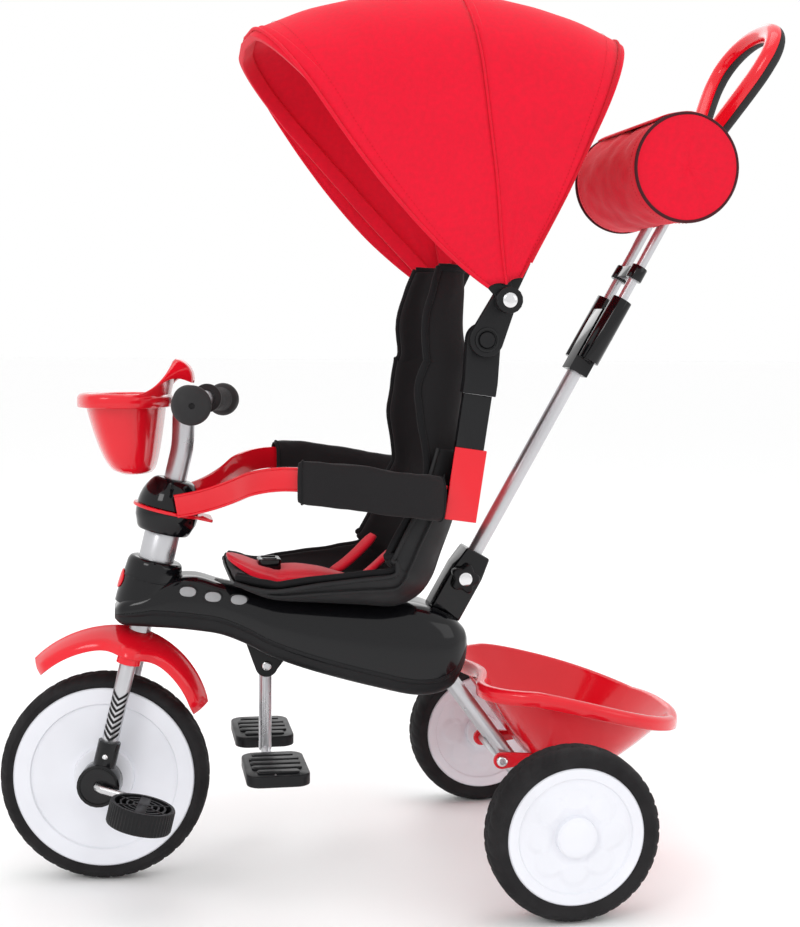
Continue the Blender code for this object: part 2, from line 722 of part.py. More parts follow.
def upper_row(x, low, high, half, grow=0.0):
    split = split_z(low, high)
    rise = high - split
    shape = ((1, 0), (1, 0.16), (0.985, 0.42), (0.93, 0.70), (0.78, 0.93), (0.50, 1))
    right = [(half * w + grow, split + rise * h + grow * h) for w, h in shape]
    outline = [(-y, z) for y, z in right] + [(0, high + grow)] + right[::-1]
    return [(x, y, z) for y, z in outline]


def body_space(chassis):
    """The upper cover's outer shape with a hair's breadth added, for what stands on it."""
    rings = [upper_row(*s, grow=GAP * 1.3) for s in body_stations()]
    return loft("body_space", rings, None, chassis, cutter=True)


def lower_row(x, low, high, half):
    split = split_z(low, high) - (GAP if x < DECK_END_X + 0.01 else 0.0012)
    depth = split - low
    right = [(half, split), (half, split - 0.2 * depth), (half * 0.97, low + 0.3 * depth), (half * 0.85, low)]
    outline = [(-y, z) for y, z in right] + [(0, low)] + right[::-1]
    return [(x, y, z) for y, z in outline]


def body_covers(chassis, head):
    stations = body_stations()
    upper = skin("body_upper", [upper_row(*s) for s in stations], BODY_WALL, "black", chassis,
                 ends=True, offset=1.0)
    lower = skin("body_lower", [lower_row(*s) for s in stations], BODY_WALL, "black", chassis,
                 ends=True, offset=-1.0)
    boss = turned("head_boss", [(0, 0.078), (0.031, 0.078), (0.0335, 0.074), (0.0375, 0.030), (0.0375, 0.022),
                                (0, 0.022)], None, head, None, 20, cutter=True)
    bore = rod("body_bore", HEAD_TUBE_R + GAP * 1.5, -0.05, 0.12, None, head, None, 20, True)
    leg_x, leg_z = LEG_TOP
    axle_x, axle_z = REAR_AXLE
    boolean(upper, boss, "UNION")
    spine_space = tube("spine_space", [(0.008, 0, 0.026), (0.055, 0, 0.018), (0.2, 0, -0.012)],
                       BACKBONE_R + 0.001, None, chassis, sides=3, cutter=True)
    boolean(upper, spine_space, "DIFFERENCE")
    ears = []
    for name, side in sides():
        outline = [(FOOTREST_X - 0.027, FOOTREST_PIVOT_Z + 0.034)]
        for step in range(9):
            a = math.radians(200 + 140 * step / 8)
            outline.append((FOOTREST_X + 0.014 * math.cos(a), FOOTREST_PIVOT_Z + 0.014 * math.sin(a)))
        outline.append((FOOTREST_X + 0.026, FOOTREST_PIVOT_Z + 0.012))
        ear = plate(f"{name}_ear", outline, 0.009, None, chassis, side_plate(side * 0.0145), cutter=True)
        ears.append(ear)
        boolean(lower, ear, "UNION")
    pin_space = rod("pivot_space", PIVOT_R + 0.0004, -0.03, 0.03, None, chassis,
                    along("Y", (FOOTREST_X, 0, FOOTREST_PIVOT_Z)), 14, True)
    boolean(lower, pin_space, "DIFFERENCE")
    for name, side in sides():
        space = tube(f"{name}_leg_space", [(leg_x, side * LEG_Y, leg_z), (axle_x, side * LEG_Y, axle_z)],
                     LEG_R + 0.0008, None, chassis, sides=3, cutter=True)
        for cover in (upper, lower):
            boolean(cover, space, "DIFFERENCE")
    for cover in (upper, lower):
        boolean(cover, bore, "DIFFERENCE")


def footrest(pivot):
    """Hangs from its pivot: a drop tube, a cross tube and two plates."""
    drop = rod("footrest_tube", FOOTREST_TUBE_R, -FOOTREST_DROP, 0.006, "silver", pivot, None, 20)
    half = FOOT_PLATE_Y + FOOT_PLATE[1] / 2 - 0.006
    cross = rod("footrest_cross", 0.006, -half, half, None, pivot, along("Y", (0, 0, -FOOTREST_DROP)), 16,
                True)
    pin = rod("footrest_pin", PIVOT_R, -0.0225, 0.0225, None, pivot, along("Y"), 14, True)
    boolean(drop, cross, "UNION")
    boolean(drop, pin, "UNION")
    long_x, wide_y, thick = FOOT_PLATE
    for name, side in sides():
        place = Matrix.Translation((0.004, side * FOOT_PLATE_Y, -FOOTREST_DROP))
        step = plate(f"{name}_foot_plate", rounded(long_x / 2, wide_y / 2, 0.016), thick, "soft_black",
                     pivot, place)
        boolean(step, rod(f"{name}_plate_bore", 0.0064, -0.3, side and half + GAP, None, pivot,
                          along("Y", (0, 0, -FOOTREST_DROP)) if side > 0 else
                          Matrix.Translation((0, 0, -FOOTREST_DROP)) @ Matrix.Rotation(math.pi / 2, 4, "X"),
                          16, True), "DIFFERENCE")


def rear_basket(axle):
    def rim(a):
        across = 0.143 * math.copysign(abs(math.sin(a)) ** 0.75, math.sin(a))
        ahead = math.cos(a)
        x = 0.044 + (0.142 if ahead > 0 else 0.140) * math.copysign(abs(ahead) ** 0.75, ahead)
        if ahead < 0:
            x += 0.044 * math.exp(-((across / 0.080) ** 2)) * abs(ahead)
        if ahead > 0:
            across *= 1 - 0.22 * ahead ** 2
        z = 0.140 - 0.052 * min(1.0, max(0.0, (x + 0.02) / 0.19)) ** 1.2
        return (x, across, z)

    def floor(a):
        return (0.060 + 0.056 * math.cos(a), 0.080 * math.sin(a), 0.031)

    bowl = tub("rear_basket", axle, rim, floor, 0.009, 0.010, count=28, bulge=0.8, levels=3)
    for name, side in sides():
        outline = link_outline(BASKET_BOLT, (0.016, 0.036), 0.0105, 0.0030)
        lug = plate(f"{name}_lug", outline, 0.005, None, axle, side_plate(side * LUG_Y), cutter=True)
        boolean(bowl, lug, "UNION")
    boolean(bowl, rod("bolt_space", 0.0049, -0.07, 0.07, None, axle,
                      along("Y", (BASKET_BOLT[0], 0, BASKET_BOLT[1])), 14, True), "DIFFERENCE")


# ---- Seat ----
def back_point(depth, up):
    """A point of the backrest's frame, in the chassis frame."""
    c, s = math.cos(BACK_TILT), math.sin(BACK_TILT)
    return (BACK_ORIGIN[0] + depth * c + up * s, BACK_ORIGIN[1] + up * c - depth * s)


def seat_path():
    """Outside line of the seat: x, z, half width and how far its sides stand up."""
    deck = [(x, deck_z(x) + GAP) for x in (DECK_START[0], 0.2055, 0.2555, 0.3)]
    line = [(0.1035, 0.0572), (0.1250, 0.0455)] + deck + [(0.3305, 0.0352), (0.3490, 0.0572),
                                                          (0.3605, 0.0882)]
    line += [back_point(0.0090, up) for up in (0.0, 0.028, 0.056, 0.080)]
    half = [0.096, 0.104, 0.110, 0.118, 0.121, 0.121, 0.119, 0.116, 0.113, 0.111, 0.110, 0.108, 0.104]
    rise = [0.004, 0.010, 0.018, 0.030, 0.040, 0.050, 0.062, 0.066, 0.062, 0.055, 0.050, 0.046, 0.042]
    return [(x, z, w, h) for (x, z), w, h in zip(line, half, rise)]


def bucket_rows(path, lift, spread):
    shape = ((0, 0), (0.24, 0), (0.50, 0.0), (0.70, 0.07), (0.87, 0.30), (0.97, 0.64), (1.0, 1.0))
    rows = []
    for i, (x, z, half, rise) in enumerate(path):
        before = path[max(i - 1, 0)]
        after = path[min(i + 1, len(path) - 1)]
        heading = Vector((after[0] - before[0], after[1] - before[1])).normalized()
        inward = Vector((-heading.y, heading.x))
        right = []
        for wide, up in shape:
            shift = inward * (lift + rise * up)
            right.append((x + shift.x, (half - spread) * wide, z + shift.y))
        rows.append([(px, -py, pz) for px, py, pz in reversed(right[1:])] + right)
    return rows


def seat(chassis):
    path = seat_path()
    skin("seat_shell", bucket_rows(path, 0, 0), SEAT_WALL, "soft_black", chassis, offset=-1.0)
    liner = [(x, z, w, h) for x, z, w, h in path[:-1]]
    for up, half, rise in ((0.110, 0.102, 0.062), (0.150, 0.104, 0.066), (0.190, 0.102, 0.064),
                           (0.230, 0.098, 0.058), (0.270, 0.090, 0.050), (0.298, 0.080, 0.042)):
        x, z = back_point(0.0085 - 0.10 * (up - 0.1) * (up > 0.2), up)
        liner.append((x, z, half, rise))
    skin("seat_liner", bucket_rows(liner, SEAT_WALL + 0.0014, 0.0065), LINER_THICK, "charcoal",
         chassis, offset=-1.0)
    crotch(chassis, path)
    for name, side in sides():
        strap_pad(chassis, name, side)


def crotch(chassis, path):
    lift = SEAT_WALL + LINER_THICK + 0.0026
    rings = []
    for i, half, thick in ((0, 0.030, 0.006), (1, 0.058, 0.010), (2, 0.059, 0.015), (3, 0.056, 0.017),
                           (4, 0.030, 0.010)):
        x, z, _, _ = path[i]
        base = z + lift + (0.004 if i < 2 else 0)
        ring = [(x, -half, base), (x, half, base), (x, half, base + 0.35 * thick),
                (x, half * 0.7, base + 0.8 * thick), (x, 0, base + thick),
                (x, -half * 0.7, base + 0.8 * thick), (x, -half, base + 0.35 * thick)]
        rings.append(ring)
    pad = loft("crotch_pad", rings, "red_fabric", chassis)
    x, z, _, _ = path[2]
    low = z + lift + 0.010
    box("buckle", (x - 0.014, -0.016, low), (x + 0.014, 0.016, low + 0.015), "black", chassis)
    pocket = box("buckle_pocket", (x - 0.014 - GAP, -0.016 - GAP, low - GAP),
                 (x + 0.014 + GAP, 0.016 + GAP, low + 0.04),
                 None, chassis, cutter=True)
    boolean(pad, pocket, "DIFFERENCE")


def strap_pad(chassis, name, side):
    x0 = 0.245
    z0 = deck_z(x0) + SEAT_WALL + LINER_THICK + 0.0018
    rings = []
    for t in (0, 0.33, 0.67, 1):
        x = x0 + 0.055 * t
        z = z0 + 0.002 + 0.045 * t ** 1.3
        y = side * (0.057 + 0.008 * t)
        rings.append([(x, y - 0.016, z), (x, y + 0.016, z), (x - 0.004, y + 0.016, z + 0.007),
                      (x - 0.004, y - 0.016, z + 0.007)])
    loft(f"{name}_strap_pad", rings, "red_fabric", chassis)


def backrest(back):
    half_x = UPRIGHT_DEEP / 2
    outer_y = UPRIGHT_Y + UPRIGHT_THICK
    frame_piece = box("back_uprights", (0.0098, -outer_y + 0.002, 0.012),
                      (half_x - 0.001, outer_y - 0.002, 0.042),
                      "black", back)
    for name, side in sides():
        low, high = sorted((side * UPRIGHT_Y, side * outer_y))
        bar = box(f"{name}_upright", (-half_x, low, 0.003), (half_x, high, UPRIGHT_TALL), None, back,
                  cutter=True)
        boolean(frame_piece, bar, "UNION")
    inner_x = half_x + GAP
    inner_y = outer_y + GAP
    wall = BACK_PANEL_WALL
    outline = [(-inner_x - 0.001, inner_y), (inner_x, inner_y), (inner_x, -inner_y),
               (-inner_x - 0.001, -inner_y),
               (-inner_x - 0.001, -inner_y - wall), (inner_x + wall, -inner_y - wall),
               (inner_x + wall, inner_y + wall), (-inner_x - 0.001, inner_y + wall)]
    plate("back_panel", outline, BACK_PANEL_TALL, "red", back,
          Matrix.Translation((0, 0, BACK_PANEL_TALL / 2)))
    for name, side in sides():
        hinge_socket(back, name, side)


def hinge_socket(back, name, side):
    """Caps an upright and carries the hinge disc of the canopy arm."""
    x, z = HINGE_AT
    half_x = UPRIGHT_DEEP / 2
    outline = [(-half_x - 0.003, UPRIGHT_TALL + GAP), (half_x + 0.003, UPRIGHT_TALL + GAP),
               (half_x + 0.003, UPRIGHT_TALL + 0.016), (x + HINGE_R, z)]
    for step in range(1, 12):
        a = math.pi * step / 12
        outline.append((x + HINGE_R * math.cos(a), z + HINGE_R * math.sin(a)))
    outline += [(x - HINGE_R, z), (-half_x - 0.003, UPRIGHT_TALL + 0.016)]
    thick = ARM_Y - GAP - UPRIGHT_Y
    piece = plate(f"{name}_hinge_socket", outline, thick, "black", back,
                  side_plate(side * (ARM_Y - GAP - thick / 2)))
    low, high = sorted((side * (ARM_Y - 0.009), side * (ARM_Y + 0.02)))
    boolean(piece, rod(f"{name}_lock_hole", BUTTON_R + 0.0005, low, high, None, back,
                       along("Y", (x, 0, z)), 16, True), "DIFFERENCE")


# ---- Canopy ----
def bow_y(order):
    """Middle plane of the rear (0), middle (1) or front (2) bow's foot."""
    return ARM_Y + ARM_THICK + GAP + BOW_THICK / 2 + order * (BOW_THICK + GAP)


def bow_path(foot_y, height, extra=0.0, low=0.0, corner_steps=6):
    """Half of a bow in its own plane, from the foot to the crown: (y, height)."""
    wide = foot_y + BOW_FLARE
    flare_end = height * 0.42
    points = [] if low else [(foot_y + extra, 0)]
    for t in (0.0, 0.5, 1.0):
        h = max(low, BOW_FOOT) + (flare_end - max(low, BOW_FOOT)) * t
        s = (h - BOW_FOOT) / (flare_end - BOW_FOOT)
        points.append((foot_y + BOW_FLARE * s * s * (3 - 2 * s) + extra, h))
    corner_low = height - BOW_CORNER
    for step in range(corner_steps + 1):
        a = math.pi / 2 * step / corner_steps
        shrink = 0.62
        y = wide * (1 - shrink) + wide * shrink * math.cos(a) + extra * math.cos(a)
        points.append((y, corner_low + (BOW_CORNER + extra) * math.sin(a)))
    points.append((0, height + extra + 0.004))
    return points


def whole_bow(half_path):
    return [(-y, h) for y, h in half_path] + [(y, h) for y, h in reversed(half_path[:-1])]


def bow(parent, name, order, angle, height):
    """A flat strap bent to an arch, with a round eye at each foot."""
    lean = Matrix.Rotation(-math.radians(angle), 4, "Y")
    path = whole_bow(bow_path(bow_y(order), height))
    rings = []
    for i, (y, h) in enumerate(path):
        ahead = Vector(path[min(i + 1, len(path) - 1)]) - Vector(path[max(i - 1, 0)])
        if i == 0 or i == len(path) - 1:
            ahead = Vector((0, 1 if i == 0 else -1))
        out = Vector((-ahead.y, ahead.x)).normalized() * BOW_THICK / 2
        half = BOW_WIDE / 2
        rings.append([(-half, y - out.x, h - out.y), (half, y - out.x, h - out.y),
                      (half, y + out.x, h + out.y), (-half, y + out.x, h + out.y)])
    strap = loft(name, rings, "silver", parent, lean, smooth=False)
    for side_name, side in sides():
        mid = side * bow_y(order)
        eye = rod(f"{name}_{side_name}_eye", 0.0105, mid - BOW_THICK / 2, mid + BOW_THICK / 2, None, parent,
                  along("Y"), 16, True)
        boolean(strap, eye, "UNION")
    boolean(strap, rod(f"{name}_hole", PIVOT_R + 0.0004, -0.3, 0.3, None, parent, along("Y"), 16, True),
            "DIFFERENCE")


def fabric_panel(parent, name, back_bow, front_bow, orders):
    """The cloth between two bows, outside both of them."""
    steps = 5
    rows = []
    for step in range(steps + 1):
        t = step / steps
        angle = math.radians(back_bow[0] + (front_bow[0] - back_bow[0]) * t)
        height = back_bow[1] + (front_bow[1] - back_bow[1]) * t
        foot = bow_y(orders[0]) + (bow_y(orders[1]) - bow_y(orders[0])) * t
        shift = GAP * (1 - 2 * t)
        low = 0.045
        extra = BOW_THICK / 2 + FABRIC + GAP * 2
        sag = 0.004 * math.sin(math.pi * t)
        row = []
        for y, h in whole_bow(bow_path(foot, height - sag, extra, low)):
            x = -h * math.sin(angle) - shift * math.cos(angle)
            row.append((x, y, h * math.cos(angle) - shift * math.sin(angle)))
        rows.append(row)
    skin(name, rows, FABRIC, "red_fabric", parent, offset=1.0)


def canopy(back):
    hinge_x, hinge_z = HINGE_AT
    pivot_x, pivot_z = CANOPY_AT
    for name, side in sides():
        outline = link_outline(HINGE_AT, CANOPY_AT, HINGE_R, 0.0145)
        arm = plate(f"{name}_canopy_arm", outline, ARM_THICK, "black", back,
                    side_plate(side * (ARM_Y + ARM_THICK / 2)))
        last = bow_y(2) + BOW_THICK / 2 + GAP
        reach = (side * (ARM_Y + 0.003), side * (last + 0.004))
        pin = rod(f"{name}_canopy_pin", PIVOT_R, min(reach), max(reach), None, back,
                  along("Y", (pivot_x, 0, pivot_z)), 16, True)
        knob_ends = (side * last, side * (last + 0.012))
        knob = rod(f"{name}_canopy_knob", KNOB_R, min(knob_ends), max(knob_ends), None, back,
                   along("Y", (pivot_x, 0, pivot_z)), 16, True)
        boolean(arm, pin, "UNION")
        boolean(arm, knob, "UNION")
        hole_ends = (side * (ARM_Y - 0.01), side * (ARM_Y + ARM_THICK + 0.01))
        boolean(arm, rod(f"{name}_button_hole", BUTTON_R + 0.0005, min(hole_ends), max(hole_ends), None, back,
                         along("Y", (hinge_x, 0, hinge_z)), 16, True), "DIFFERENCE")
        ends = (side * (ARM_Y - 0.003), side * (ARM_Y + ARM_THICK + 0.002))
        rod(f"{name}_hinge_button", BUTTON_R, min(ends), max(ends), "soft_black", back,
            along("Y", (hinge_x, 0, hinge_z)), 24)
    pivot = frame("canopy_pivot", back, (pivot_x, 0, pivot_z), -BACK_TILT)
    bow(pivot, "rear_bow", 0, *REAR_BOW)
    bow(pivot, "mid_bow", 1, *MID_BOW)
    bow(pivot, "front_bow", 2, *FRONT_BOW)
    fabric_panel(pivot, "canopy_rear_panel", REAR_BOW, MID_BOW, (0, 1))
    fabric_panel(pivot, "canopy_front_panel", MID_BOW, FRONT_BOW, (1, 2))


# ---- Push bar ----
def push_bar(bar, chassis):
    socket = loft("bar_socket", [box_ring(0, 0, z, half, 0.021) for z, half in
                                 ((-0.040, 0.0205), (0.030, 0.0205),
                                  (0.058, 0.0165))], "black", bar, smooth=False)
    boolean(socket, body_space(chassis), "DIFFERENCE")
    boolean(socket, rod("socket_bore", BAR_R + 0.0004, -0.010 - GAP, 0.1, None, bar, None, 16, True),
            "DIFFERENCE")
    rod("lower_bar", BAR_R, -0.010, SLEEVE_LOW + 0.030, "silver", bar, None, 24)
    knob_outline = []
    for i in range(40):
        a = 2 * math.pi * i / 40
        knob_outline.append(((0.0165 + 0.0025 * math.cos(5 * a)) * math.cos(a),
                             (0.0165 + 0.0025 * math.cos(5 * a)) * math.sin(a)))
    plate("bar_knob", knob_outline, 0.016, "soft_black", bar,
          Matrix.Translation((-0.003, -0.021 - GAP - 0.008, 0.022)) @ Matrix.Rotation(math.pi / 2, 4, "X"))
    top = SLEEVE_LOW + SLEEVE_TALL
    sleeve_body = box("height_sleeve", (-0.013, -0.0165, SLEEVE_LOW), (0.013, 0.0165, top - 0.02),
                      "black", bar)
    for name, side in sides():
        boolean(sleeve_body, rod(f"{name}_barrel", BARREL_R, SLEEVE_LOW + 0.018, top, None, bar,
                                 Matrix.Translation((0, side * TUBE_Y, 0)), 16, True), "UNION")
    for name, side in sides():
        boolean(sleeve_body, rod(f"{name}_barrel_bore", UPPER_TUBE_R + 0.0004, SLEEVE_LOW - 0.02,
                                 top + 0.05, None, bar,
                                 Matrix.Translation((0, side * TUBE_Y, 0)), 16, True), "DIFFERENCE")
    boolean(sleeve_body, rod("bar_seat", BAR_R + 0.0004, SLEEVE_LOW - 0.02, SLEEVE_LOW + 0.030 + GAP,
                             None, bar,
                             None, 16, True), "DIFFERENCE")
    boolean(sleeve_body, rod("pin_hole", 0.0034, -0.001, 0.05, None, bar,
                             along("X", (0, 0, SLEEVE_LOW + 0.060)), 14, True), "DIFFERENCE")
    pin_x = 0.013 + GAP
    turned("height_pin", [(0, pin_x + 0.008), (0.006, pin_x + 0.008), (0.006, pin_x), (0.003, pin_x),
                          (0.003, 0.004), (0, 0.004)], "silver", bar,
           along("X", (0, 0, SLEEVE_LOW + 0.060)), 16)
    clip = box("upper_tubes", (-0.0082, -TUBE_Y, CLIP_LOW + GAP),
               (0.0082, TUBE_Y, CLIP_LOW + CLIP_TALL - GAP), "silver", bar)
    for name, side in sides():
        place = Matrix.Translation((0, side * TUBE_Y, 0))
        boolean(clip, rod(f"{name}_clip", 0.0105, CLIP_LOW, CLIP_LOW + CLIP_TALL, None, bar, place, 16,
                          True), "UNION")
        boolean(clip, rod(f"{name}_upper_tube", UPPER_TUBE_R, SLEEVE_LOW + 0.045, HANDLE_NECK - GAP, None,
                          bar,
                          place, 16, True), "UNION")
    handle(bar)
    bag(bar)


def handle(bar):
    """A teardrop loop, split lengthwise into a black rear half and a red front half."""
    half = [(0, TUBE_Y, HANDLE_NECK), (0, TUBE_Y, HANDLE_NECK + 0.008)]
    spread = HANDLE_HALF - TUBE_Y
    for share, up in ((0.34, 0.23), (0.70, 0.42), (0.93, 0.57)):
        half.append((0, TUBE_Y + spread * share, HANDLE_NECK + HANDLE_TALL * up))
    for step in range(7):
        a = math.pi / 2 * step / 6
        up = HANDLE_NECK + HANDLE_TALL * (0.70 + 0.30 * math.sin(a))
        half.append((0, HANDLE_HALF * math.cos(a) ** 0.9, up))
    path = half + [(x, -y, z) for x, y, z in reversed(half[:-1])]
    for name, colour, low, high in (("handle_loop", "soft_black", -0.1, GAP / 2),
                                    ("handle_insert", "red", -GAP / 2, 0.1)):
        loop = tube(name, path, HANDLE_R, colour, bar, sides=3)
        away = box(f"{name}_away", (low, -0.2, HANDLE_NECK - 0.1), (high, 0.2, HANDLE_NECK + 0.3), None,
                   bar, cutter=True)
        boolean(loop, away, "DIFFERENCE")


def bag(bar):
    end = BAG_HALF
    profile = [(0, end), (BAG_R - 0.004, end), (BAG_R, end - 0.004), (BAG_R, 4 - end - 4 + 0.004),
               (BAG_R - 0.004, -end), (0, -end)]
    body = turned("bag", profile, "red_fabric", bar, along("Y", (-BAG_FORWARD, 0, BAG_UP)), 24)
    space = box("bag_slot", (-UPPER_TUBE_R - 0.0005, -TUBE_Y - UPPER_TUBE_R - 0.001, BAG_UP - 0.1),
                (0.1, TUBE_Y + UPPER_TUBE_R + 0.001, BAG_UP + 0.1), None, bar, cutter=True)
    boolean(body, space, "DIFFERENCE")


# ---- Assembly ----
def stand_on_origin(root):
    """Moves the model so that the middle of its box's base is the origin."""
    bpy.context.view_layer.update()
    graph = bpy.context.evaluated_depsgraph_get()
    low = Vector((9, 9, 9))
    high = -low
    for obj in PARTS.objects:
        if obj.type == "EMPTY":
            continue
        seen = obj.evaluated_get(graph)
        for vert in seen.data.vertices:
            at = seen.matrix_world @ vert.co
            low = Vector(map(min, low, at))
            high = Vector(map(max, high, at))
    root.location = (-(low.x + high.x) / 2, -(low.y + high.y) / 2, -low.z)


def build():
    root = frame("tricycle_root", None, (0, 0, 0))
    steering = frame("steering_axis", root, (0, 0, FRONT_WHEEL_R), STEER_TILT, REST_STEER)
    crossbar_level = frame("crossbar_level", steering, (STEM_LEAN, 0, CROSSBAR_S), -STEER_TILT)
    chassis = frame("chassis", root, HEAD_AT)
    head = frame("head", chassis, (0, 0, 0), STEER_TILT)
    axle = frame("rear_axle_middle", root, (WHEELBASE, 0, REAR_WHEEL_R))
    pivot = frame("footrest_pivot", chassis, (FOOTREST_X, 0, FOOTREST_PIVOT_Z))
    back = frame("backrest", chassis, (BACK_ORIGIN[0], 0, BACK_ORIGIN[1]), BACK_TILT)
    bar = frame("push_bar", chassis, (BAR_FOOT[0], 0, BAR_FOOT[1]), BAR_TILT)

    front_wheel(steering)
    rear_wheels(root)
    top = fork(steering)
    fender(steering)
    handlebar(steering, top)
    front_basket(crossbar_level, steering)
    collar(head)
    arm_guard(chassis, head, back)
    main_frame(chassis, head)
    body_covers(chassis, head)
    footrest(pivot)
    rear_basket(axle)
    seat(chassis)
    backrest(back)
    canopy(back)
    push_bar(bar, chassis)
    stand_on_origin(root)


clear_scene()
PARTS = new_collection("tricycle")
CUTTERS = new_collection("cutters")
CUTTERS.hide_render = True
build()
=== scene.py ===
"""Looks for the children's tricycle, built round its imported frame.

Metres, in the row frame: +X towards the rear wheels, +Y to the rider's right, +Z up.
"""

import json
import math

import bmesh
import bpy
from mathutils import Matrix, Vector, noise


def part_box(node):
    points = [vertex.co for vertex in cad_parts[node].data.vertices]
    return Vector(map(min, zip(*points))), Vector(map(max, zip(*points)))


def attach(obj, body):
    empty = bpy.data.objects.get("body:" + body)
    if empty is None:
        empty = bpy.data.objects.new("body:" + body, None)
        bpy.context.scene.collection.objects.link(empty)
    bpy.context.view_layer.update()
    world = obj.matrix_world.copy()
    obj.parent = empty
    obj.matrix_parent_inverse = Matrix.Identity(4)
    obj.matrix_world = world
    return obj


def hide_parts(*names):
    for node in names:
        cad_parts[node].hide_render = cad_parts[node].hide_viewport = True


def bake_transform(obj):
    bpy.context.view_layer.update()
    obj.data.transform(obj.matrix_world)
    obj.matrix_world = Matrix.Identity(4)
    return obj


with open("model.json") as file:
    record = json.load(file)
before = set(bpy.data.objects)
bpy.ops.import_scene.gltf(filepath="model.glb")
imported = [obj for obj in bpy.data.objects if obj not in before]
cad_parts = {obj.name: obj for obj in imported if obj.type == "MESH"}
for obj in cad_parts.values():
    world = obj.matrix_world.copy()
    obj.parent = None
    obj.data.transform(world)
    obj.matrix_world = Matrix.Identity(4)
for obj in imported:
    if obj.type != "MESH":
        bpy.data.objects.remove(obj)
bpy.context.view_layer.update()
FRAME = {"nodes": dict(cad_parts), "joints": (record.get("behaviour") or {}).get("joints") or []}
JOINTS = {joint["name"]: joint for joint in FRAME["joints"]}
COLLECTION = bpy.data.collections.new("tricycle_looks")
bpy.context.scene.collection.children.link(COLLECTION)


# ---- Places, from the joints of the frame ----
def joint_at(name):
    return Vector(JOINTS[name]["pos_m"])


def shift(x, y, z):
    return Matrix.Translation((x, y, z))


def tilt(degrees):
    return Matrix.Rotation(math.radians(degrees), 4, "Y")


def frame_of(at, y_axis, z_axis):
    y = Vector(y_axis).normalized()
    z = Vector(z_axis).normalized()
    x = y.cross(z)
    turn = Matrix((x, y, z)).transposed().to_4x4()
    return Matrix.Translation(at) @ turn


HEAD_TILT = 13.2
STEER = frame_of(joint_at("steering_turn"), JOINTS["front_wheel_spin"]["axis"],
                 JOINTS["steering_turn"]["axis"])
CHASSIS = Matrix.Translation(joint_at("steering_turn") + Vector(JOINTS["steering_turn"]["axis"]) * 0.195)
HEAD = CHASSIS @ tilt(HEAD_TILT)
LEVEL = STEER @ shift(-0.010, 0, 0.475) @ tilt(-HEAD_TILT)
BAR = CHASSIS @ shift(0.3901, 0, 0.0282) @ tilt(29)
PIVOT = Matrix.Translation(joint_at("canopy_fold"))

AXLE = shift(joint_at("left_rear_spin").x, 0, joint_at("left_rear_spin").z)
FOOT = Matrix.Translation(joint_at("footrest_fold"))
ALONG_Y = Matrix.Rotation(-math.pi / 2, 4, "X")
ON_EDGE = Matrix.Rotation(math.pi / 2, 4, "X")


# The gap between seated parts, the fork legs, the handlebar's ends in the steered frame, the push bar's
# twin tubes, the bag along the bar, a canopy arm's middle and half width, and the tilt of the seat back.
FIT = 0.0003
LEG_Y = 0.045
GRIP_X, GRIP_Y, GRIP_Z = -0.010, 0.205, 0.475
TUBE_Y = 0.029
BAG_Z = 0.583
ARM_Y, ARM_HALF = 0.1343, 0.012
BACK_TILT = 8


def sides():
    return (("left", -1), ("right", 1))


def outward(side):
    """Turns Z away from the middle of the tricycle on this side."""
    return ALONG_Y if side > 0 else ALONG_Y @ Matrix.Rotation(math.pi, 4, "X")


def turns(count):
    """Even angles round a circle."""
    return [2 * math.pi * i / count for i in range(count)]


def power(value, exponent):
    """A power that keeps the sign."""
    return math.copysign(abs(value) ** exponent, value)


def arc(x, z, radius, start, turn):
    """Thirteen points round part of a circle. The start and the turn are in degrees."""
    angles = [math.radians(start + turn * k / 12) for k in range(13)]
    return [(x + radius * math.cos(a), z + radius * math.sin(a)) for a in angles]


# ---- Materials ----
class Paint:
    """One material: adds its nodes, sets their values and joins them."""

    def __init__(self, name):
        self.material = bpy.data.materials.new(name)
        self.material.use_nodes = True
        self.nodes = self.material.node_tree.nodes
        self.links = self.material.node_tree.links
        self.shader = self.nodes["Principled BSDF"]

    def fill(self, node, inputs):
        for socket, value in inputs.items():
            if isinstance(value, bpy.types.NodeSocket):
                self.links.new(value, node.inputs[socket])
            else:
                node.inputs[socket].default_value = value

    def add(self, kind, output, inputs, **settings):
        made = self.nodes.new("ShaderNode" + kind)
        for setting, value in settings.items():
            setattr(made, setting, value)
        self.fill(made, inputs)
        return made.outputs[output]

    def noise(self, coords, scale, detail=3.0):
        return self.add("TexNoise", "Fac", {"Vector": coords, "Scale": scale, "Detail": detail,
                                            "Roughness": 0.5})

    def span(self, value, low, high):
        """The middle of a noise's range, spread from low to high."""
        return self.add("MapRange", "Result", {"Value": value, "From Min": 0.3, "From Max": 0.7,
                                               "To Min": low,
                                               "To Max": high}, clamp=True)

    def tones(self, value, colour, dark, light):
        """The colour times dark to the colour times light."""
        ends = [(*(min(1.0, c * factor) for c in colour), 1) for factor in (dark, light)]
        return self.add("Mix", "Result", {"A": ends[0], "B": ends[1], "Factor": value}, data_type="RGBA")

    def bump(self, height, strength, distance):
        return self.add("Bump", "Normal", {"Strength": strength, "Distance": distance, "Height": height})

    def math(self, operation, *values):
        return self.add("Math", 0, dict(enumerate(values)), operation=operation)


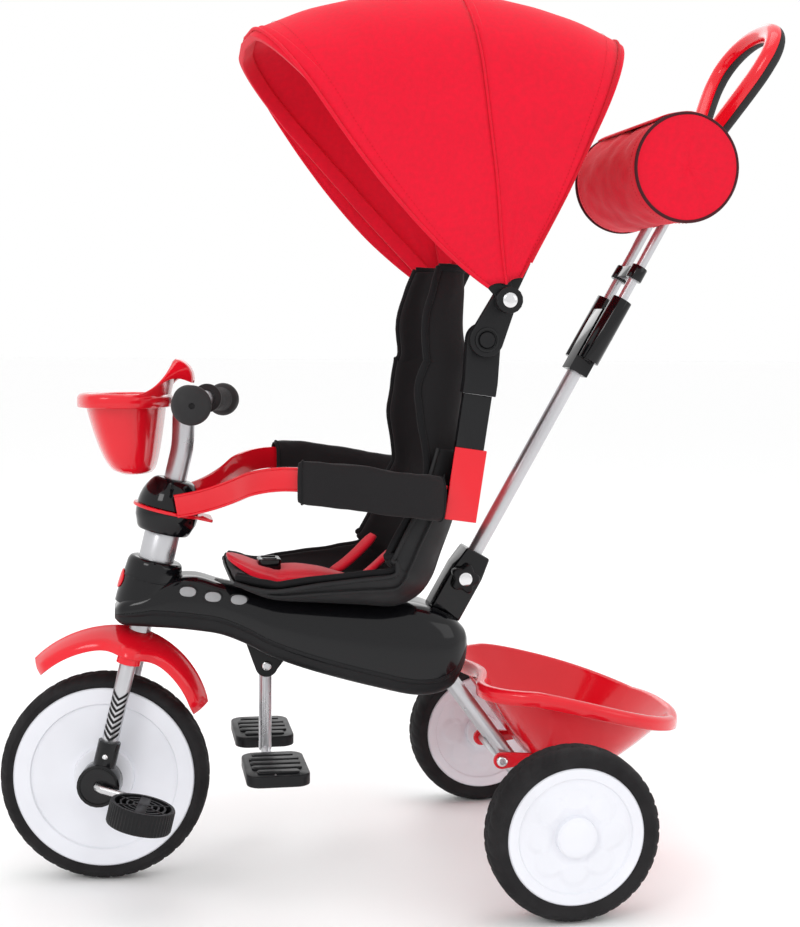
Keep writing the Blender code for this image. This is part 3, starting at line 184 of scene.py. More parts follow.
def moulded(name, colour, rough, grain=900, depth=0.05, coat=0.0, metal=0.0, shine=0.5):
    """Moulded plastic or painted steel: broad tone changes, a fine grain and uneven gloss."""
    paint = Paint(name)
    coords = paint.add("TexCoord", "Object", {})
    uneven = 0.2
    paint.fill(paint.shader, {
        "Base Color": paint.tones(paint.span(paint.noise(coords, 9), 0, 1), colour, 0.95, 1.05),
        "Roughness": paint.span(paint.noise(coords, 30), rough * (1 - uneven), rough * (1 + uneven)),
        "Normal": paint.bump(paint.noise(coords, grain, 2), depth, 0.0004),
        "Metallic": metal, "Specular IOR Level": shine, "Coat Weight": coat, "Coat Roughness": 0.06,
    })
    return paint.material


def woven(name, colour, thread=1400, depth=0.35, fuzz=0.12, mottled=0.12):
    """Woven cloth: crossing threads, slubs and a soft sheen."""
    paint = Paint(name)
    coords = paint.add("TexCoord", "Object", {})
    rough = 0.85
    bands = [paint.add("TexWave", "Fac", {"Vector": coords, "Scale": thread / 6.28, "Distortion": 1.2,
                                          "Detail": 1.0},
                       bands_direction=direction) for direction in ("X", "Z")]
    weave = paint.math("MAXIMUM", *bands)
    slub = paint.noise(coords, 160, 4)
    height = paint.math("MULTIPLY_ADD", weave, 0.6, slub)
    blotches = paint.math("MULTIPLY_ADD", paint.noise(coords, 12), 0.5, paint.span(slub, 0, 0.5))
    paint.fill(paint.shader, {
        "Base Color": paint.tones(blotches, colour, 1 - mottled, 1 + mottled),
        "Normal": paint.bump(height, depth, 0.0005),
        "Roughness": paint.span(slub, rough - 0.05, rough + 0.08),
        "Sheen Weight": fuzz, "Sheen Roughness": 0.4, "Specular IOR Level": 0.2,
    })
    return paint.material


def brushed(name, colour, rough):
    """Bare steel with fine lines along its length."""
    paint = Paint(name)
    coords = paint.add("TexCoord", "Object", {})
    stretched = paint.add("Mapping", "Vector", {"Scale": (400, 40, 400), "Vector": coords})
    lines = paint.noise(stretched, 3, 4)
    paint.fill(paint.shader, {
        "Base Color": paint.tones(lines, colour, 0.85, 1.1),
        "Roughness": paint.span(lines, rough * 0.7, rough * 1.4),
        "Normal": paint.bump(lines, 0.08, 0.0003),
        "Metallic": 1.0,
    })
    return paint.material


RED = (0.74, 0.006, 0.017)
M = {
    "red_plastic": moulded("red_plastic", RED, 0.16, 60, 0.02, coat=0.25, shine=0.35),
    "white_plastic": moulded("white_plastic", (0.80, 0.81, 0.86), 0.35, 500, 0.03),
    "black_gloss": moulded("black_gloss", (0.004, 0.004, 0.005), 0.10, 90, 0.02, coat=0.0, shine=0.32),
    "black_satin": moulded("black_satin", (0.008, 0.008, 0.009), 0.42, 900, 0.12, shine=0.22),
    "seat_plastic": moulded("seat_plastic", (0.012, 0.012, 0.013), 0.5, 700, 0.15, shine=0.25),
    "grip_rubber": moulded("grip_rubber", (0.022, 0.021, 0.022), 0.68, 1200, 0.2, shine=0.25),
    "silver_paint": moulded("silver_paint", (0.55, 0.55, 0.57), 0.32, 1500, 0.06, metal=0.85),
    "steel": brushed("steel", (0.62, 0.62, 0.63), 0.25),
    # painted reflection: this flat grey stands in for the light reflected in the body's glossy dimples
    "painted_reflection_grey": moulded("painted_reflection_grey", (0.30, 0.30, 0.31), 0.22, 200, 0.02, coat=0.5),
    "chrome": brushed("chrome", (0.75, 0.75, 0.76), 0.12),
    "tyre": moulded("tyre", (0.014, 0.013, 0.014), 0.82, 1100, 0.5, shine=0.25),
    "red_cloth": woven("red_cloth", (0.72, 0.007, 0.028)),
    "red_cloth_dark": woven("red_cloth_dark", (0.56, 0.005, 0.018)),
    "red_pad": woven("red_pad", (0.72, 0.007, 0.026), 1000, 0.4, 0.3),
    "charcoal_cloth": woven("charcoal_cloth", (0.014, 0.013, 0.014), 1100, 0.4, 0.06, 0.2),
    "dark_piping": woven("dark_piping", (0.06, 0.012, 0.016), 1500, 0.3, 0.1),
    "black_cloth": woven("black_cloth", (0.009, 0.009, 0.010), 1300, 0.4, 0.05, 0.2),
}


def put(name, mesh, material, body, stands_for=(), place=None):
    obj = bpy.data.objects.new(name, mesh)
    COLLECTION.objects.link(obj)
    mesh.materials.append(M[material])
    if place is not None:
        mesh.transform(place)
    if body:
        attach(obj, body)
    if stands_for:
        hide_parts(*stands_for)
    return obj


def from_bmesh(name, made, angle=40):
    bmesh.ops.recalc_face_normals(made, faces=made.faces)
    mesh = bpy.data.meshes.new(name)
    made.to_mesh(mesh)
    made.free()
    mesh.shade_smooth()
    mesh.set_sharp_from_angle(angle=math.radians(angle))
    return mesh


def grid(name, rows, ring=False, loop=False, caps=False, angle=40, weld=False):
    """Quads between rows of points. ring joins each row's ends, loop joins the last row to the first."""
    made = bmesh.new()
    lines = [[made.verts.new(p) for p in row] for row in rows]
    pairs = list(zip(lines, lines[1:]))
    if loop:
        pairs.append((lines[-1], lines[0]))
    count = len(rows[0])
    for low, high in pairs:
        for i in range(count if ring else count - 1):
            j = (i + 1) % count
            made.faces.new((low[i], low[j], high[j], high[i]))
    if caps:
        made.faces.new(lines[0][::-1])
        made.faces.new(lines[-1])
    if weld:
        bmesh.ops.remove_doubles(made, verts=made.verts, dist=1e-6)
    return from_bmesh(name, made, angle)


def spun(name, profile, steps=64, bend=None, angle=35):
    """Turns (radius, height) points about Z. bend can move each point."""
    rows = []
    for a in turns(steps):
        moved = [bend(r, h, a) if bend else (r, h) for r, h in profile]
        rows.append([(r * math.cos(a), r * math.sin(a), h) for r, h in moved])
    return grid(name, rows, ring=profile[0][0] > 1e-6, loop=True, angle=angle, weld=True)


def curve_through(points, per=6):
    """A smooth line through points."""
    pts = [Vector(p) for p in points]
    out = []
    for i in range(len(pts) - 1):
        a = pts[max(i - 1, 0)]
        b = pts[i]
        c = pts[i + 1]
        d = pts[min(i + 2, len(pts) - 1)]
        for step in range(per):
            t = step / per
            out.append(0.5 * (2 * b + (c - a) * t + (2 * a - 5 * b + 4 * c - d) * t * t
                              + (3 * b - a - 3 * c + d) * t ** 3))
    out.append(pts[-1])
    return out


def directions(path, closed=False):
    n = len(path)
    out = []
    for i in range(n):
        after = path[(i + 1) % n] if closed else path[min(i + 1, n - 1)]
        before = path[i - 1] if closed else path[max(i - 1, 0)]
        out.append((after - before).normalized())
    return out


def swept(name, path, outline, up=(0, 0, 1), closed=False, angle=40, size=None):
    """Sweeps an outline of (side, up) points along a path."""
    rows = []
    for i, (point, ahead) in enumerate(zip(path, directions(path, closed))):
        side = ahead.cross(Vector(up))
        if side.length < 1e-6:
            side = ahead.cross(Vector((1, 0, 0)))
        side.normalize()
        top = side.cross(ahead).normalized()
        k = size(i / max(1, len(path) - 1)) if size else 1.0
        rows.append([point + side * a * k + top * b * k for a, b in outline])
    return grid(name, rows, ring=True, loop=closed, caps=not closed, angle=angle)


def circle(radius, count=16):
    return [(radius * math.cos(a), radius * math.sin(a)) for a in turns(count)]


def rounded(half_x, half_y, radius, steps=4):
    points = []
    for corner, (sx, sy) in enumerate(((1, 1), (-1, 1), (-1, -1), (1, -1))):
        for step in range(steps + 1):
            a = math.pi / 2 * (corner + step / steps)
            points.append((sx * (half_x - radius) + radius * math.cos(a),
                           sy * (half_y - radius) + radius * math.sin(a)))
    return points


def pipe(name, path, radius, material, body, sides_count=20, **more):
    mesh = swept(name, path, circle(radius, sides_count), up=more.pop("up", (0, 1, 0)),
                 closed=more.pop("closed", False))
    return put(name, mesh, material, body, **more)


def slab(name, outline, low, high, soft, material, body, place, **more):
    """An outline with rounded edges, from low to high along Z."""
    cx = sum(p[0] for p in outline) / len(outline)
    cy = sum(p[1] for p in outline) / len(outline)
    rows = []
    for z, inset in ((low, soft), (low + soft * 0.3, soft * 0.3), (low + soft, 0), (high - soft, 0),
                     (high - soft * 0.3, soft * 0.3), (high, soft)):
        row = []
        for x, y in outline:
            away = Vector((x - cx, y - cy))
            k = 1 - inset / max(away.length, 1e-6)
            row.append((cx + away.x * k, cy + away.y * k, z))
        rows.append(row)
    return put(name, grid(name, rows, ring=True, caps=True, angle=50), material, body, place=place, **more)


def refined(node, material, body, soft=0.0008, angle=28, segments=2):
    """A copy of a CAD node with its flat faces joined and its edges rounded."""
    made = bmesh.new()
    made.from_mesh(FRAME["nodes"][node].data)
    bmesh.ops.remove_doubles(made, verts=made.verts, dist=1e-5)
    bmesh.ops.dissolve_limit(made, angle_limit=math.radians(1.0), verts=made.verts, edges=made.edges)
    mesh = bpy.data.meshes.new(node + "_fine")
    made.to_mesh(mesh)
    made.free()
    mesh.shade_smooth()
    mesh.materials.clear()
    obj = put(node + "_fine", mesh, material, body, stands_for=(node,))
    edge = bevel(obj, soft, segments, angle)
    edge.use_clamp_overlap = True
    edge.harden_normals = True


def bevel(obj, width, segments, angle):
    edge = obj.modifiers.new("edges", "BEVEL")
    edge.width = width
    edge.segments = segments
    edge.limit_method = "ANGLE"
    edge.angle_limit = math.radians(angle)
    return edge


def thicken(obj, wall, offset, level=0):
    solid = obj.modifiers.new("wall", "SOLIDIFY")
    solid.thickness = wall
    solid.offset = offset
    if level:
        fine = obj.modifiers.new("fine", "SUBSURF")
        fine.levels = level
        fine.render_levels = level


def stitches(name, path, length, gap, thick, material, body):
    """Short raised threads along a line."""
    made = bmesh.new()
    run = 0.0
    spots = [(path[0], 0.0)]
    for a, b in zip(path, path[1:]):
        run += (b - a).length
        spots.append((b, run))
    at = 0.0
    k = 0
    while at + length < run:
        ends = []
        for d in (at, at + length):
            while k + 1 < len(spots) - 1 and spots[k + 1][1] < d:
                k += 1
            a, da = spots[k]
            b, db = spots[k + 1]
            ends.append(a.lerp(b, (d - da) / max(db - da, 1e-9)))
        ahead = (ends[1] - ends[0]).normalized()
        across = ahead.cross(Vector((0.3, 0.5, 0.8))).normalized() * thick
        other = ahead.cross(across).normalized() * thick
        mid = (ends[0] + ends[1]) / 2
        corners = (ends[0], mid + across, mid + other, mid - across, mid - other, ends[1])
        verts = [made.verts.new(p) for p in corners]
        for i in range(4):
            j = 1 + (i + 1) % 4
            made.faces.new((verts[0], verts[i + 1], verts[j]))
            made.faces.new((verts[5], verts[j], verts[i + 1]))
        at += length + gap
    return put(name, from_bmesh(name, made, 60), material, body)


# ---- Wheels ----
def tread(radius, half, grooves):
    """A tyre's profile and the rule that cuts slanted grooves into its tread."""
    across = [-0.98, -0.93, -0.84, -0.72, -0.58, -0.44, -0.30, -0.15, 0, 0.15, 0.30, 0.44, 0.58, 0.72,
              0.84, 0.93, 0.98]
    profile = [(radius - 0.0085 * abs(w) ** 4, half * w) for w in across]

    def cut(r, h, a):
        w = h / half
        if abs(w) > 0.99:
            return r, h
        slant = a * grooves / (2 * math.pi) + 0.9 * abs(w) + (0.5 if w > 0 else 0)
        near = abs((slant % 1) - 0.5)
        depth = max(0.0, 1 - near / 0.16)
        middle = max(0.0, 1 - abs(abs(w) - 0.16) / 0.06)
        return r - 0.0014 * min(1.0, depth * 1.5) * min(1.0, abs(w) * 3) - 0.0010 * middle, h

    return profile, cut


def tyre(name, node, radius, half, bore, body, place, grooves):
    profile, cut = tread(radius, half, grooves)
    inner = [(radius - 0.010, half), (bore + 0.0015, half * 0.86), (bore, half * 0.80),
             (bore, -half * 0.80), (bore + 0.0015, -half * 0.86), (radius - 0.010, -half)]

    def shaped(r, h, a):
        return cut(r, h, a) if r > radius - 0.0088 else (r, h)

    mesh = spun(name, profile + inner, grooves * 8, shaped, 30)
    return put(name, mesh, "tyre", body, stands_for=(node,), place=place)


BORE = 0.0054


def disc(name, node, radius, half, hub, rings, bubbles, body, place):
    """A moulded wheel disc: stepped rings, raised bubbles and a capped hub, on both faces."""
    stops = [BORE, hub * 0.30, hub * 0.34, hub * 0.92, hub, hub * 1.04]
    stops += [hub * 1.06 + (rings - hub * 1.06) * k / 14 for k in range(15)]
    stops += [rings + 0.0006, rings + 0.0022, rings + 0.0034, radius - 0.004, radius - 0.0015, radius]

    def height(r, a):
        if r <= hub * 0.31:
            return half + 0.0035
        if r <= hub * 0.93:
            return half + 0.003
        if r <= hub:
            return half + 0.0018
        if r <= hub * 1.05:
            return half - 0.0052
        if r <= rings + 0.0003:
            base = half - 0.005 - 0.0016 * math.sin(math.pi * (r - hub) / (rings - hub))
            for k in range(bubbles):
                c = 2 * math.pi * k / bubbles
                d = (a - c + math.pi) % (2 * math.pi) - math.pi
                e = math.hypot(d * r / (0.30 * rings), (r - 0.66 * rings) / (0.24 * rings))
                if e < 1:
                    base += 0.0022 * min(1.0, (1 - e) * 4)
            return base
        if r <= rings + 0.0010:
            return half - 0.0048
        if r <= rings + 0.0036:
            return half - 0.0022
        return half if r < radius - 0.001 else half - 0.0012

    profile = [(r, 1) for r in stops] + [(r, -1) for r in reversed(stops)]

    def shaped(r, side, a):
        return r, side * height(r, a)

    mesh = spun(name, profile, 144, shaped, 38)
    return put(name, mesh, "white_plastic", body, stands_for=(node,), place=place)


def button(name, radius, tall, material, body, place, slotted=False):
    """A low domed cap or screw head standing on its frame's XY plane."""
    profile = [(0, tall), (radius * 0.5, tall * 0.93), (radius * 0.82, tall * 0.68), (radius, tall * 0.2),
               (radius, 0), (0, 0)]
    if slotted:
        profile = [(0, tall * 0.45), (radius * 0.42, tall * 0.45), (radius * 0.46, tall)] + profile[2:]
    return put(name, spun(name, profile, 40, angle=50), material, body, place=place)


def wheels():
    spin = STEER @ ALONG_Y
    tyre("front_tread", "front_tyre", 0.127, 0.0215, 0.1103, "front_wheel", spin, 44)
    disc("front_disc_fine", "front_wheel_disc", 0.110, 0.0175, 0.036, 0.088, 0, "front_wheel", spin)
    refined("crank_axle", "steel", "front_wheel", 0.0006)
    for name, side in sides():
        middle = joint_at(f"{name}_rear_spin")
        place = Matrix.Translation(middle) @ ALONG_Y
        body = f"{name}_rear_wheel"
        tyre(f"{name}_rear_tread", f"{name}_rear_tyre", 0.102, 0.0235, 0.0808, body, place, 38)
        disc(f"{name}_rear_disc_fine", f"{name}_rear_disc", 0.0805, 0.0195, 0.0235, 0.066, 8, body, place)
        cap = Matrix.Translation(middle) @ outward(side)
        button(f"{name}_hub_cap", 0.0215, 0.0022, "white_plastic", body, cap @ shift(0, 0, 0.0224))
        pedal(name)


def pedal(name):
    """A round pedal: knurled rim, a floor, ribs in arcs and a cross rib."""
    body = f"{name}_pedal"
    place = Matrix.Translation(joint_at(f"{name}_pedal_spin")) @ STEER.to_3x3().to_4x4()
    radius = 0.038
    half = 0.013

    def knurl(r, h, a):
        if r > radius - 0.0004:
            r -= 0.0010 * (0.5 + 0.5 * math.cos(a * 54)) * (1 if abs(h) < half * 0.86 else 0)
        return r, h

    rim = [(radius - 0.005, half), (radius - 0.001, half), (radius, half * 0.85), (radius, half * 0.4),
           (radius, -half * 0.4),
           (radius, -half * 0.85), (radius - 0.001, -half), (radius - 0.005, -half)]
    put(f"{name}_pedal_rim", spun("rim", rim, 216, knurl, 50), "black_satin", body, stands_for=(body,),
        place=place)
    floor = [(0, 0.004), (radius - 0.004, 0.004), (radius - 0.004, -0.004), (0, -0.004)]
    put(f"{name}_pedal_floor", spun("floor", floor, 48), "black_satin", body, place=place)
    for k, r in enumerate((0.011, 0.0185, 0.026)):
        ring = [(r - 0.0011, half - 0.001), (r + 0.0011, half - 0.001), (r + 0.0015, -half + 0.001),
                (r - 0.0015, -half + 0.001)]
        put(f"{name}_pedal_rib_{k}", spun("rib", ring, 64), "black_satin", body, place=place)
    for k, turn in enumerate((0, 60, 120)):
        bar = rounded(radius - 0.004, 0.0014 if k else 0.006, 0.0012, 2)
        slab(f"{name}_pedal_bar_{k}", bar, -half + 0.0008, half - 0.0008, 0.0005, "black_satin", body,
             place @ Matrix.Rotation(math.radians(turn + 90), 4, "Z"))


# ---- Fork, fender, handlebar, front basket ----
def steering():
    refined("fork", "silver_paint", "steering", 0.0008)
    for name, side in sides():
        refined(f"{name}_axle_housing", "black_gloss", "steering", 0.0022, segments=3)
        face = STEER @ shift(0, side * 0.0600, 0) @ outward(side)
        leg = STEER @ shift(0, side * LEG_Y, 0)
        chevrons(name, side, leg)
        screw = leg @ shift(0, side * 0.0132, 0.036) @ outward(side)
        button(f"{name}_leg_screw", 0.0034, 0.0016, "chrome", "steering", screw, slotted=True)
        put(f"{name}_housing_ring", spun("ring", [(0.0215, 0.0012), (0.0225, 0.0012), (0.0225, -0.002),
                                                  (0.0215, -0.002)], 64),
            "black_satin", "steering", place=face)
    fender()
    bars()
    front_basket()


def chevrons(name, side, leg):
    """Printed arrows down the outer side of a fork leg."""
    made = bmesh.new()
    for k in range(8):
        base = 0.0585 + k * 0.0072
        rows = []
        for step in range(13):
            a = math.radians(-58 + 116 * step / 12)
            low = base + 0.0085 * abs(a) / math.radians(58) - 0.004
            r = 0.01035
            across = side * r * math.cos(a)
            rows.append([(r * math.sin(a), across, low), (r * math.sin(a), across, low + 0.0036)])
        lines = [[made.verts.new(p) for p in row] for row in rows]
        for one, two in zip(lines, lines[1:]):
            face = (one[0], two[0], two[1], one[1])
            made.faces.new(face if side > 0 else face[::-1])
    mesh = bpy.data.meshes.new("chevrons")
    bmesh.ops.recalc_face_normals(made, faces=made.faces)
    made.to_mesh(mesh)
    made.free()
    obj = put(f"{name}_chevrons", mesh, "black_satin", "steering", place=leg)
    thicken(obj, 0.0003, 0)


def fender_point(t, across):
    angle = math.radians(-44 + 85 * t)
    tip = abs(2 * t - 1)
    ridge = 0.183 - (0.019 if t < 0.5 else 0.032) * tip ** 1.6
    lug = math.exp(-((angle / math.radians(8)) ** 2))
    half = 0.035 * (1 - 0.35 * tip ** 3) + 0.024 * lug
    half *= min(1.0, 0.55 + 5.0 * (1 - tip)) if tip > 0.9 else 1.0
    drop = 0.014 - 0.004 * tip
    w = abs(across)
    fall = drop * w ** 1.5 + 0.008 * max(0.0, w - 0.94) / 0.06 - 0.0012 * max(0.0, 1 - w / 0.10)
    radius = ridge - fall - lug * 0.004 * w
    return (radius * math.sin(angle), half * across, radius * math.cos(angle))


def fender():
    widths = [-1, -0.985, -0.96, -0.9, -0.8, -0.65, -0.5, -0.35, -0.2, -0.12, -0.06, 0,
              0.06, 0.12, 0.2, 0.35, 0.5, 0.65, 0.8, 0.9, 0.96, 0.985, 1]
    rows = [[fender_point(i / 56, w) for w in widths] for i in range(57)]
    obj = put("fender_fine", grid("fender", rows), "red_plastic", "steering", stands_for=("front_fender",),
              place=STEER)
    thicken(obj, 0.0025, 1.0 if obj.data.polygons[0].normal.z < 0 else -1.0)
    bevel(obj, 0.0007, 2, 50)
    for name, side in sides():
        cup = [(0.0118, 0.010), (0.0135, 0.008), (0.0145, -0.010), (0.0118, -0.011)]
        put(f"{name}_fender_cup", spun("cup", cup, 40), "red_plastic", "steering",
            place=STEER @ shift(0, side * LEG_Y, 0.160))


def bars():
    low = 0.3501 + FIT
    bend = low + 0.055
    rise = GRIP_Z - bend
    path = [Vector((0, 0, low)), Vector((0, 0, low + 0.03)), Vector((0, 0, bend))]
    for step in range(1, 9):
        t = step / 8
        path.append(Vector((GRIP_X * t * t * (3 - 2 * t), 0, bend + rise * t)))
    pipe("stem_fine", path, 0.0135, "silver_paint", "steering", 32, stands_for=("handlebar",), place=STEER)
    back = GRIP_Y * math.tan(math.radians(BACK_TILT))
    cross = [Vector((GRIP_X + back * share, y, GRIP_Z))
             for share, y in ((1, -GRIP_Y), (0.1, -0.0205), (0.02, 0), (0.1, 0.0205), (1, GRIP_Y))]
    pipe("crossbar_fine", cross, 0.0095, "silver_paint", "steering", 28, up=(0, 0, 1), place=STEER)
    for name, side in sides():
        tip = Vector((GRIP_X + back, side * GRIP_Y, GRIP_Z))
        out = Vector((math.sin(math.radians(8)), side * math.cos(math.radians(8)), 0))
        place = STEER @ Matrix.Translation(tip) @ out.to_track_quat("Z", "Y").to_matrix().to_4x4()
        inner = -0.098
        profile = [(0, 0.0085), (0.0028, 0.0085), (0.0034, 0.0118), (0.008, 0.0116), (0.014, 0.0098),
                   (0.0185, 0.0062), (0.0214, 0.0018), (0.022, -0.002), (0.0214, -0.0065), (0.0195, -0.0112),
                   (0.0165, -0.0145), (0.0155, -0.017)]
        for k in range(9):
            z = -0.020 - k * 0.0068
            profile += [(0.0155, z), (0.0155, z - 0.0040), (0.0149, z - 0.0046), (0.0149, z - 0.0062)]
        profile += [(0.0155, inner + 0.012), (0.0165, inner + 0.010), (0.0185, inner + 0.006),
                    (0.0185, inner + 0.001),
                    (0.0175, inner), (0.0099, inner), (0.0099, -0.001), (0, -0.001)]
        put(f"{name}_grip_fine", spun("grip", profile, 64, angle=45), "grip_rubber", "steering",
            stands_for=(f"{name}_grip",), place=place)


def bowl(name, rim, floor, lip, drop, wall, bulge, material, body, node, place, count=120):
    """A basket with a rolled rim, smooth walls and a rounded floor."""
    tops = [Vector(rim(a)) for a in turns(count)]
    lows = [Vector(floor(a)) for a in turns(count)]
    middle = sum(tops, Vector()) / count
    rows = []
    for extra, fall in ((lip * 0.86, drop), (lip, drop * 0.96), (lip, drop * 0.55), (lip * 0.98, drop * 0.2),
                        (lip * 0.86, 0.0003), (lip * 0.6, -0.0010), (lip * 0.3, -0.0014), (lip * 0.08,
                                                                                           -0.0008)):
        rows.append([p + Vector((p.x - middle.x, p.y, 0)).normalized() * extra - Vector((0, 0, fall))
                     for p in tops])
    levels = 22
    for level in range(levels + 1):
        t = 1 - level / levels
        row = []
        for top, low in zip(tops, lows):
            p = low.lerp(top, t ** bulge)
            p.z = low.z + (top.z - low.z) * t
            row.append(p)
        rows.append(row)
    centre = sum(lows, Vector()) / count
    rows += [[centre.lerp(low, share) for low in lows] for share in (0.93, 0.8, 0.55, 0.3, 0.02)]
    mesh = grid(name, rows, ring=True, angle=70)
    obj = put(name, mesh, material, body, stands_for=(node,), place=place)
    inward = mesh.polygons[count * 12].normal.dot(place.to_3x3() @ (middle - tops[0])) > 0
    thicken(obj, wall, 1.0 if inward else -1.0)
    bevel(obj, 0.0006, 2, 60)


def front_basket():
    def rim(a):
        x = -0.073 + 0.047 * power(math.cos(a), 0.62)
        y = 0.098 * power(math.sin(a), 0.8)
        return (x, y * (1 - 0.28 * max(0.0, -math.cos(a)) ** 2), 0.0)

    def floor(a):
        return (-0.060 + 0.018 * math.cos(a), 0.050 * math.sin(a), -0.092)

    bowl("front_basket_fine", rim, floor, 0.006, 0.011, 0.0024, 0.5, "red_plastic", "steering",
         "front_basket", LEVEL)
    shield()


def shield():
    """The basket's rear wall sweeps up from the rim to a flat-topped tab that rolls over the crossbar."""
    rows = []
    for k in range(31):
        v = k / 30
        row = []
        for i in range(97):
            a = math.radians(-112 + 224 * i / 96)
            x = -0.073 + 0.0505 * power(math.cos(a), 0.62)
            y = 0.103 * power(math.sin(a), 0.8)
            fall = max(0.0, 1 - max(0.0, abs(y) - 0.017) / 0.086)
            share = fall ** 1.25 * min(1.0, max(0.0, (x + 0.105) / 0.050)) ** 1.5
            tall = 0.0040 + 0.0440 * share
            s = min(1.0, v / 0.62)
            roll = max(0.0, (v - 0.62) / 0.38) * math.radians(125)
            curl = share ** 3
            x += 0.0105 * share * s ** 1.4 + 0.0135 * curl * math.sin(roll) + 0.004 * curl * roll
            z = -0.0035 + tall * s - 0.0175 * curl * (1 - math.cos(roll))
            row.append((x, y * (1 - 0.10 * share * s), z))
        rows.append(row)
    mesh = grid("shield", rows, angle=70)
    obj = put("basket_shield", mesh, "red_plastic", "steering", place=LEVEL)
    thicken(obj, 0.0024, 0)
    bevel(obj, 0.0008, 3, 50)


# ---- Steering head, guard and body ----
def collars():
    low = 0.113
    mid = low + 0.0255
    lower = [(0.0143, mid), (0.0374, mid), (0.038, mid - 0.0006), (0.038, mid - 0.003),
             (0.0372, mid - 0.010), (0.0350, low + 0.010),
             (0.0330, low + 0.004), (0.0312, low + 0.001), (0.030, low), (0.0219, low), (0.0219,
                                                                                         0.1256), (0.0143,
                                                                                                   0.1256)]
    put("collar_lower_fine", spun("collar", lower, 80), "black_gloss", "chassis",
        stands_for=("collar_lower",), place=HEAD)
    base = mid + 0.0048
    upper = [(r, base + h) for r, h in (
        (0.0143, 0.036), (0.0185, 0.036), (0.0215, 0.0355), (0.0255, 0.033), (0.0290, 0.0285), (0.0325,
                                                                                                0.0225),
        (0.0352, 0.0165), (0.0372, 0.009), (0.038, 0.003), (0.038, 0.0006), (0.0374, 0), (0.0143, 0))]
    put("collar_upper_fine", spun("collar", upper, 80), "black_gloss", "chassis",
        stands_for=("collar_upper",), place=HEAD)


def guard_path():
    return [
        (0.040, 0.0440, 0.146), (0.061, 0.0470, 0.150), (0.083, 0.0590, 0.157), (0.104, 0.0800, 0.167),
        (0.124, 0.108, 0.179), (0.150, 0.129, 0.186), (0.180, 0.143, 0.187), (0.230, 0.150, 0.182),
        (0.285, 0.149, 0.174), (0.320, 0.140, 0.168), (0.342, 0.1258, 0.165), (0.3500, 0.1235, 0.163),
    ]


def guard():
    right = curve_through(guard_path(), 7)
    section = [(0.003, 0.0132), (0.0026, 0.0138), (0.001, 0.014), (-0.0022, 0.014), (-0.003, 0.0132),
               (-0.003, 0.0118), (-0.0014, 0.0108), (-0.0010, 0.006), (-0.0010, -0.006), (-0.0014, -0.0108),
               (-0.003, -0.0118), (-0.003, -0.0132), (-0.0022, -0.014), (0.001, -0.014), (0.0026, -0.0138),
               (0.003, -0.0132)]
    for name, side in sides():
        path = [Vector((p.x, side * p.y, p.z)) for p in right]
        band = swept("guard", path, section if side > 0 else [(-a, b) for a, b in reversed(section)],
                     angle=35)
        put(f"{name}_guard_band", band, "red_plastic", "chassis",
            stands_for=("arm_guard",) if side < 0 else (),
            place=CHASSIS)
    low = 0.1385 + FIT
    ring = [(0.0141, low + 0.0039), (0.0418, low + 0.0039), (0.0425, low + 0.0030), (0.0425, low + 0.0009),
            (0.0418, low), (0.0141, low)]
    put("guard_ring", spun("ring", ring, 80), "red_plastic", "chassis", place=HEAD)
    slab("guard_tongue", rounded(0.0120, 0.027, 0.004), low + 0.0003, low + 0.0036, 0.0006, "red_plastic",
         "chassis",
         HEAD @ shift(0.0425, 0, 0))
    for name, side in sides():
        sleeve(name, side)


def sleeve(name, side):
    """A padded cloth sleeve round the guard's arm, with creases across it and a hem round each end."""
    path = [Vector((p[0], side * p[1], p[2])) for p in guard_path()]
    line = curve_through(path, 8)[47:83]
    rows = []
    total = len(line)
    for i, (at, ahead) in enumerate(zip(line, directions(line))):
        across = Vector((-ahead.y, ahead.x, 0)).normalized()
        t = i / (total - 1)
        row = []
        for a in turns(56):
            c, s = math.cos(a), math.sin(a)
            end = 1 - 0.10 * (1 - min(1.0, min(t, 1 - t) * 14)) ** 2
            wide = 0.0122 * power(c, 0.72) * end
            tall = 0.0262 * power(s, 0.72) * end
            p = at + across * wide + Vector((0, 0, tall - 0.003))
            n = noise.noise(Vector((at.x * 26, side * 3 + c * 0.8, s * 1.3)))
            m = noise.noise(Vector((at.x * 70 + s * 1.5, c * 2, side * 9)))
            out = Vector((across.x * c, across.y * c, s)).normalized()
            row.append(p + out * (0.0021 * n + 0.0008 * m))
        rows.append(row)
    mesh = grid("sleeve", rows, ring=True, angle=60)
    obj = put(f"{name}_sleeve_cloth", mesh, "charcoal_cloth", "chassis",
              stands_for=(f"{name}_guard_sleeve",), place=CHASSIS)
    thicken(obj, 0.0022, -1.0, 1)
    for end, i in (("front", 1), ("rear", total - 2)):
        ring = [CHASSIS @ p for p in rows[i]]
        centre = sum(ring, Vector()) / len(ring)
        loop = [centre + (p - centre) * 1.012 for p in ring]
        pipe(f"{name}_sleeve_hem_{end}", loop, 0.0013, "black_cloth", "chassis", 8, closed=True)


def spread_stations(stations, per=6):
    """The same sections, smoothly filled in along the body."""
    points = [Vector((s[0], s[1], s[2])) for s in stations]
    widths = [Vector((s[0], s[3], 0)) for s in stations]
    out = []
    for p, w in zip(curve_through(points, per), curve_through(widths, per)):
        out.append((p.x, p.y, p.z, w.y))
    return out


def deck(x):
    """The height of the body's deck under the seat."""
    return 0.0345 - 0.0794 * (x - 0.1555)


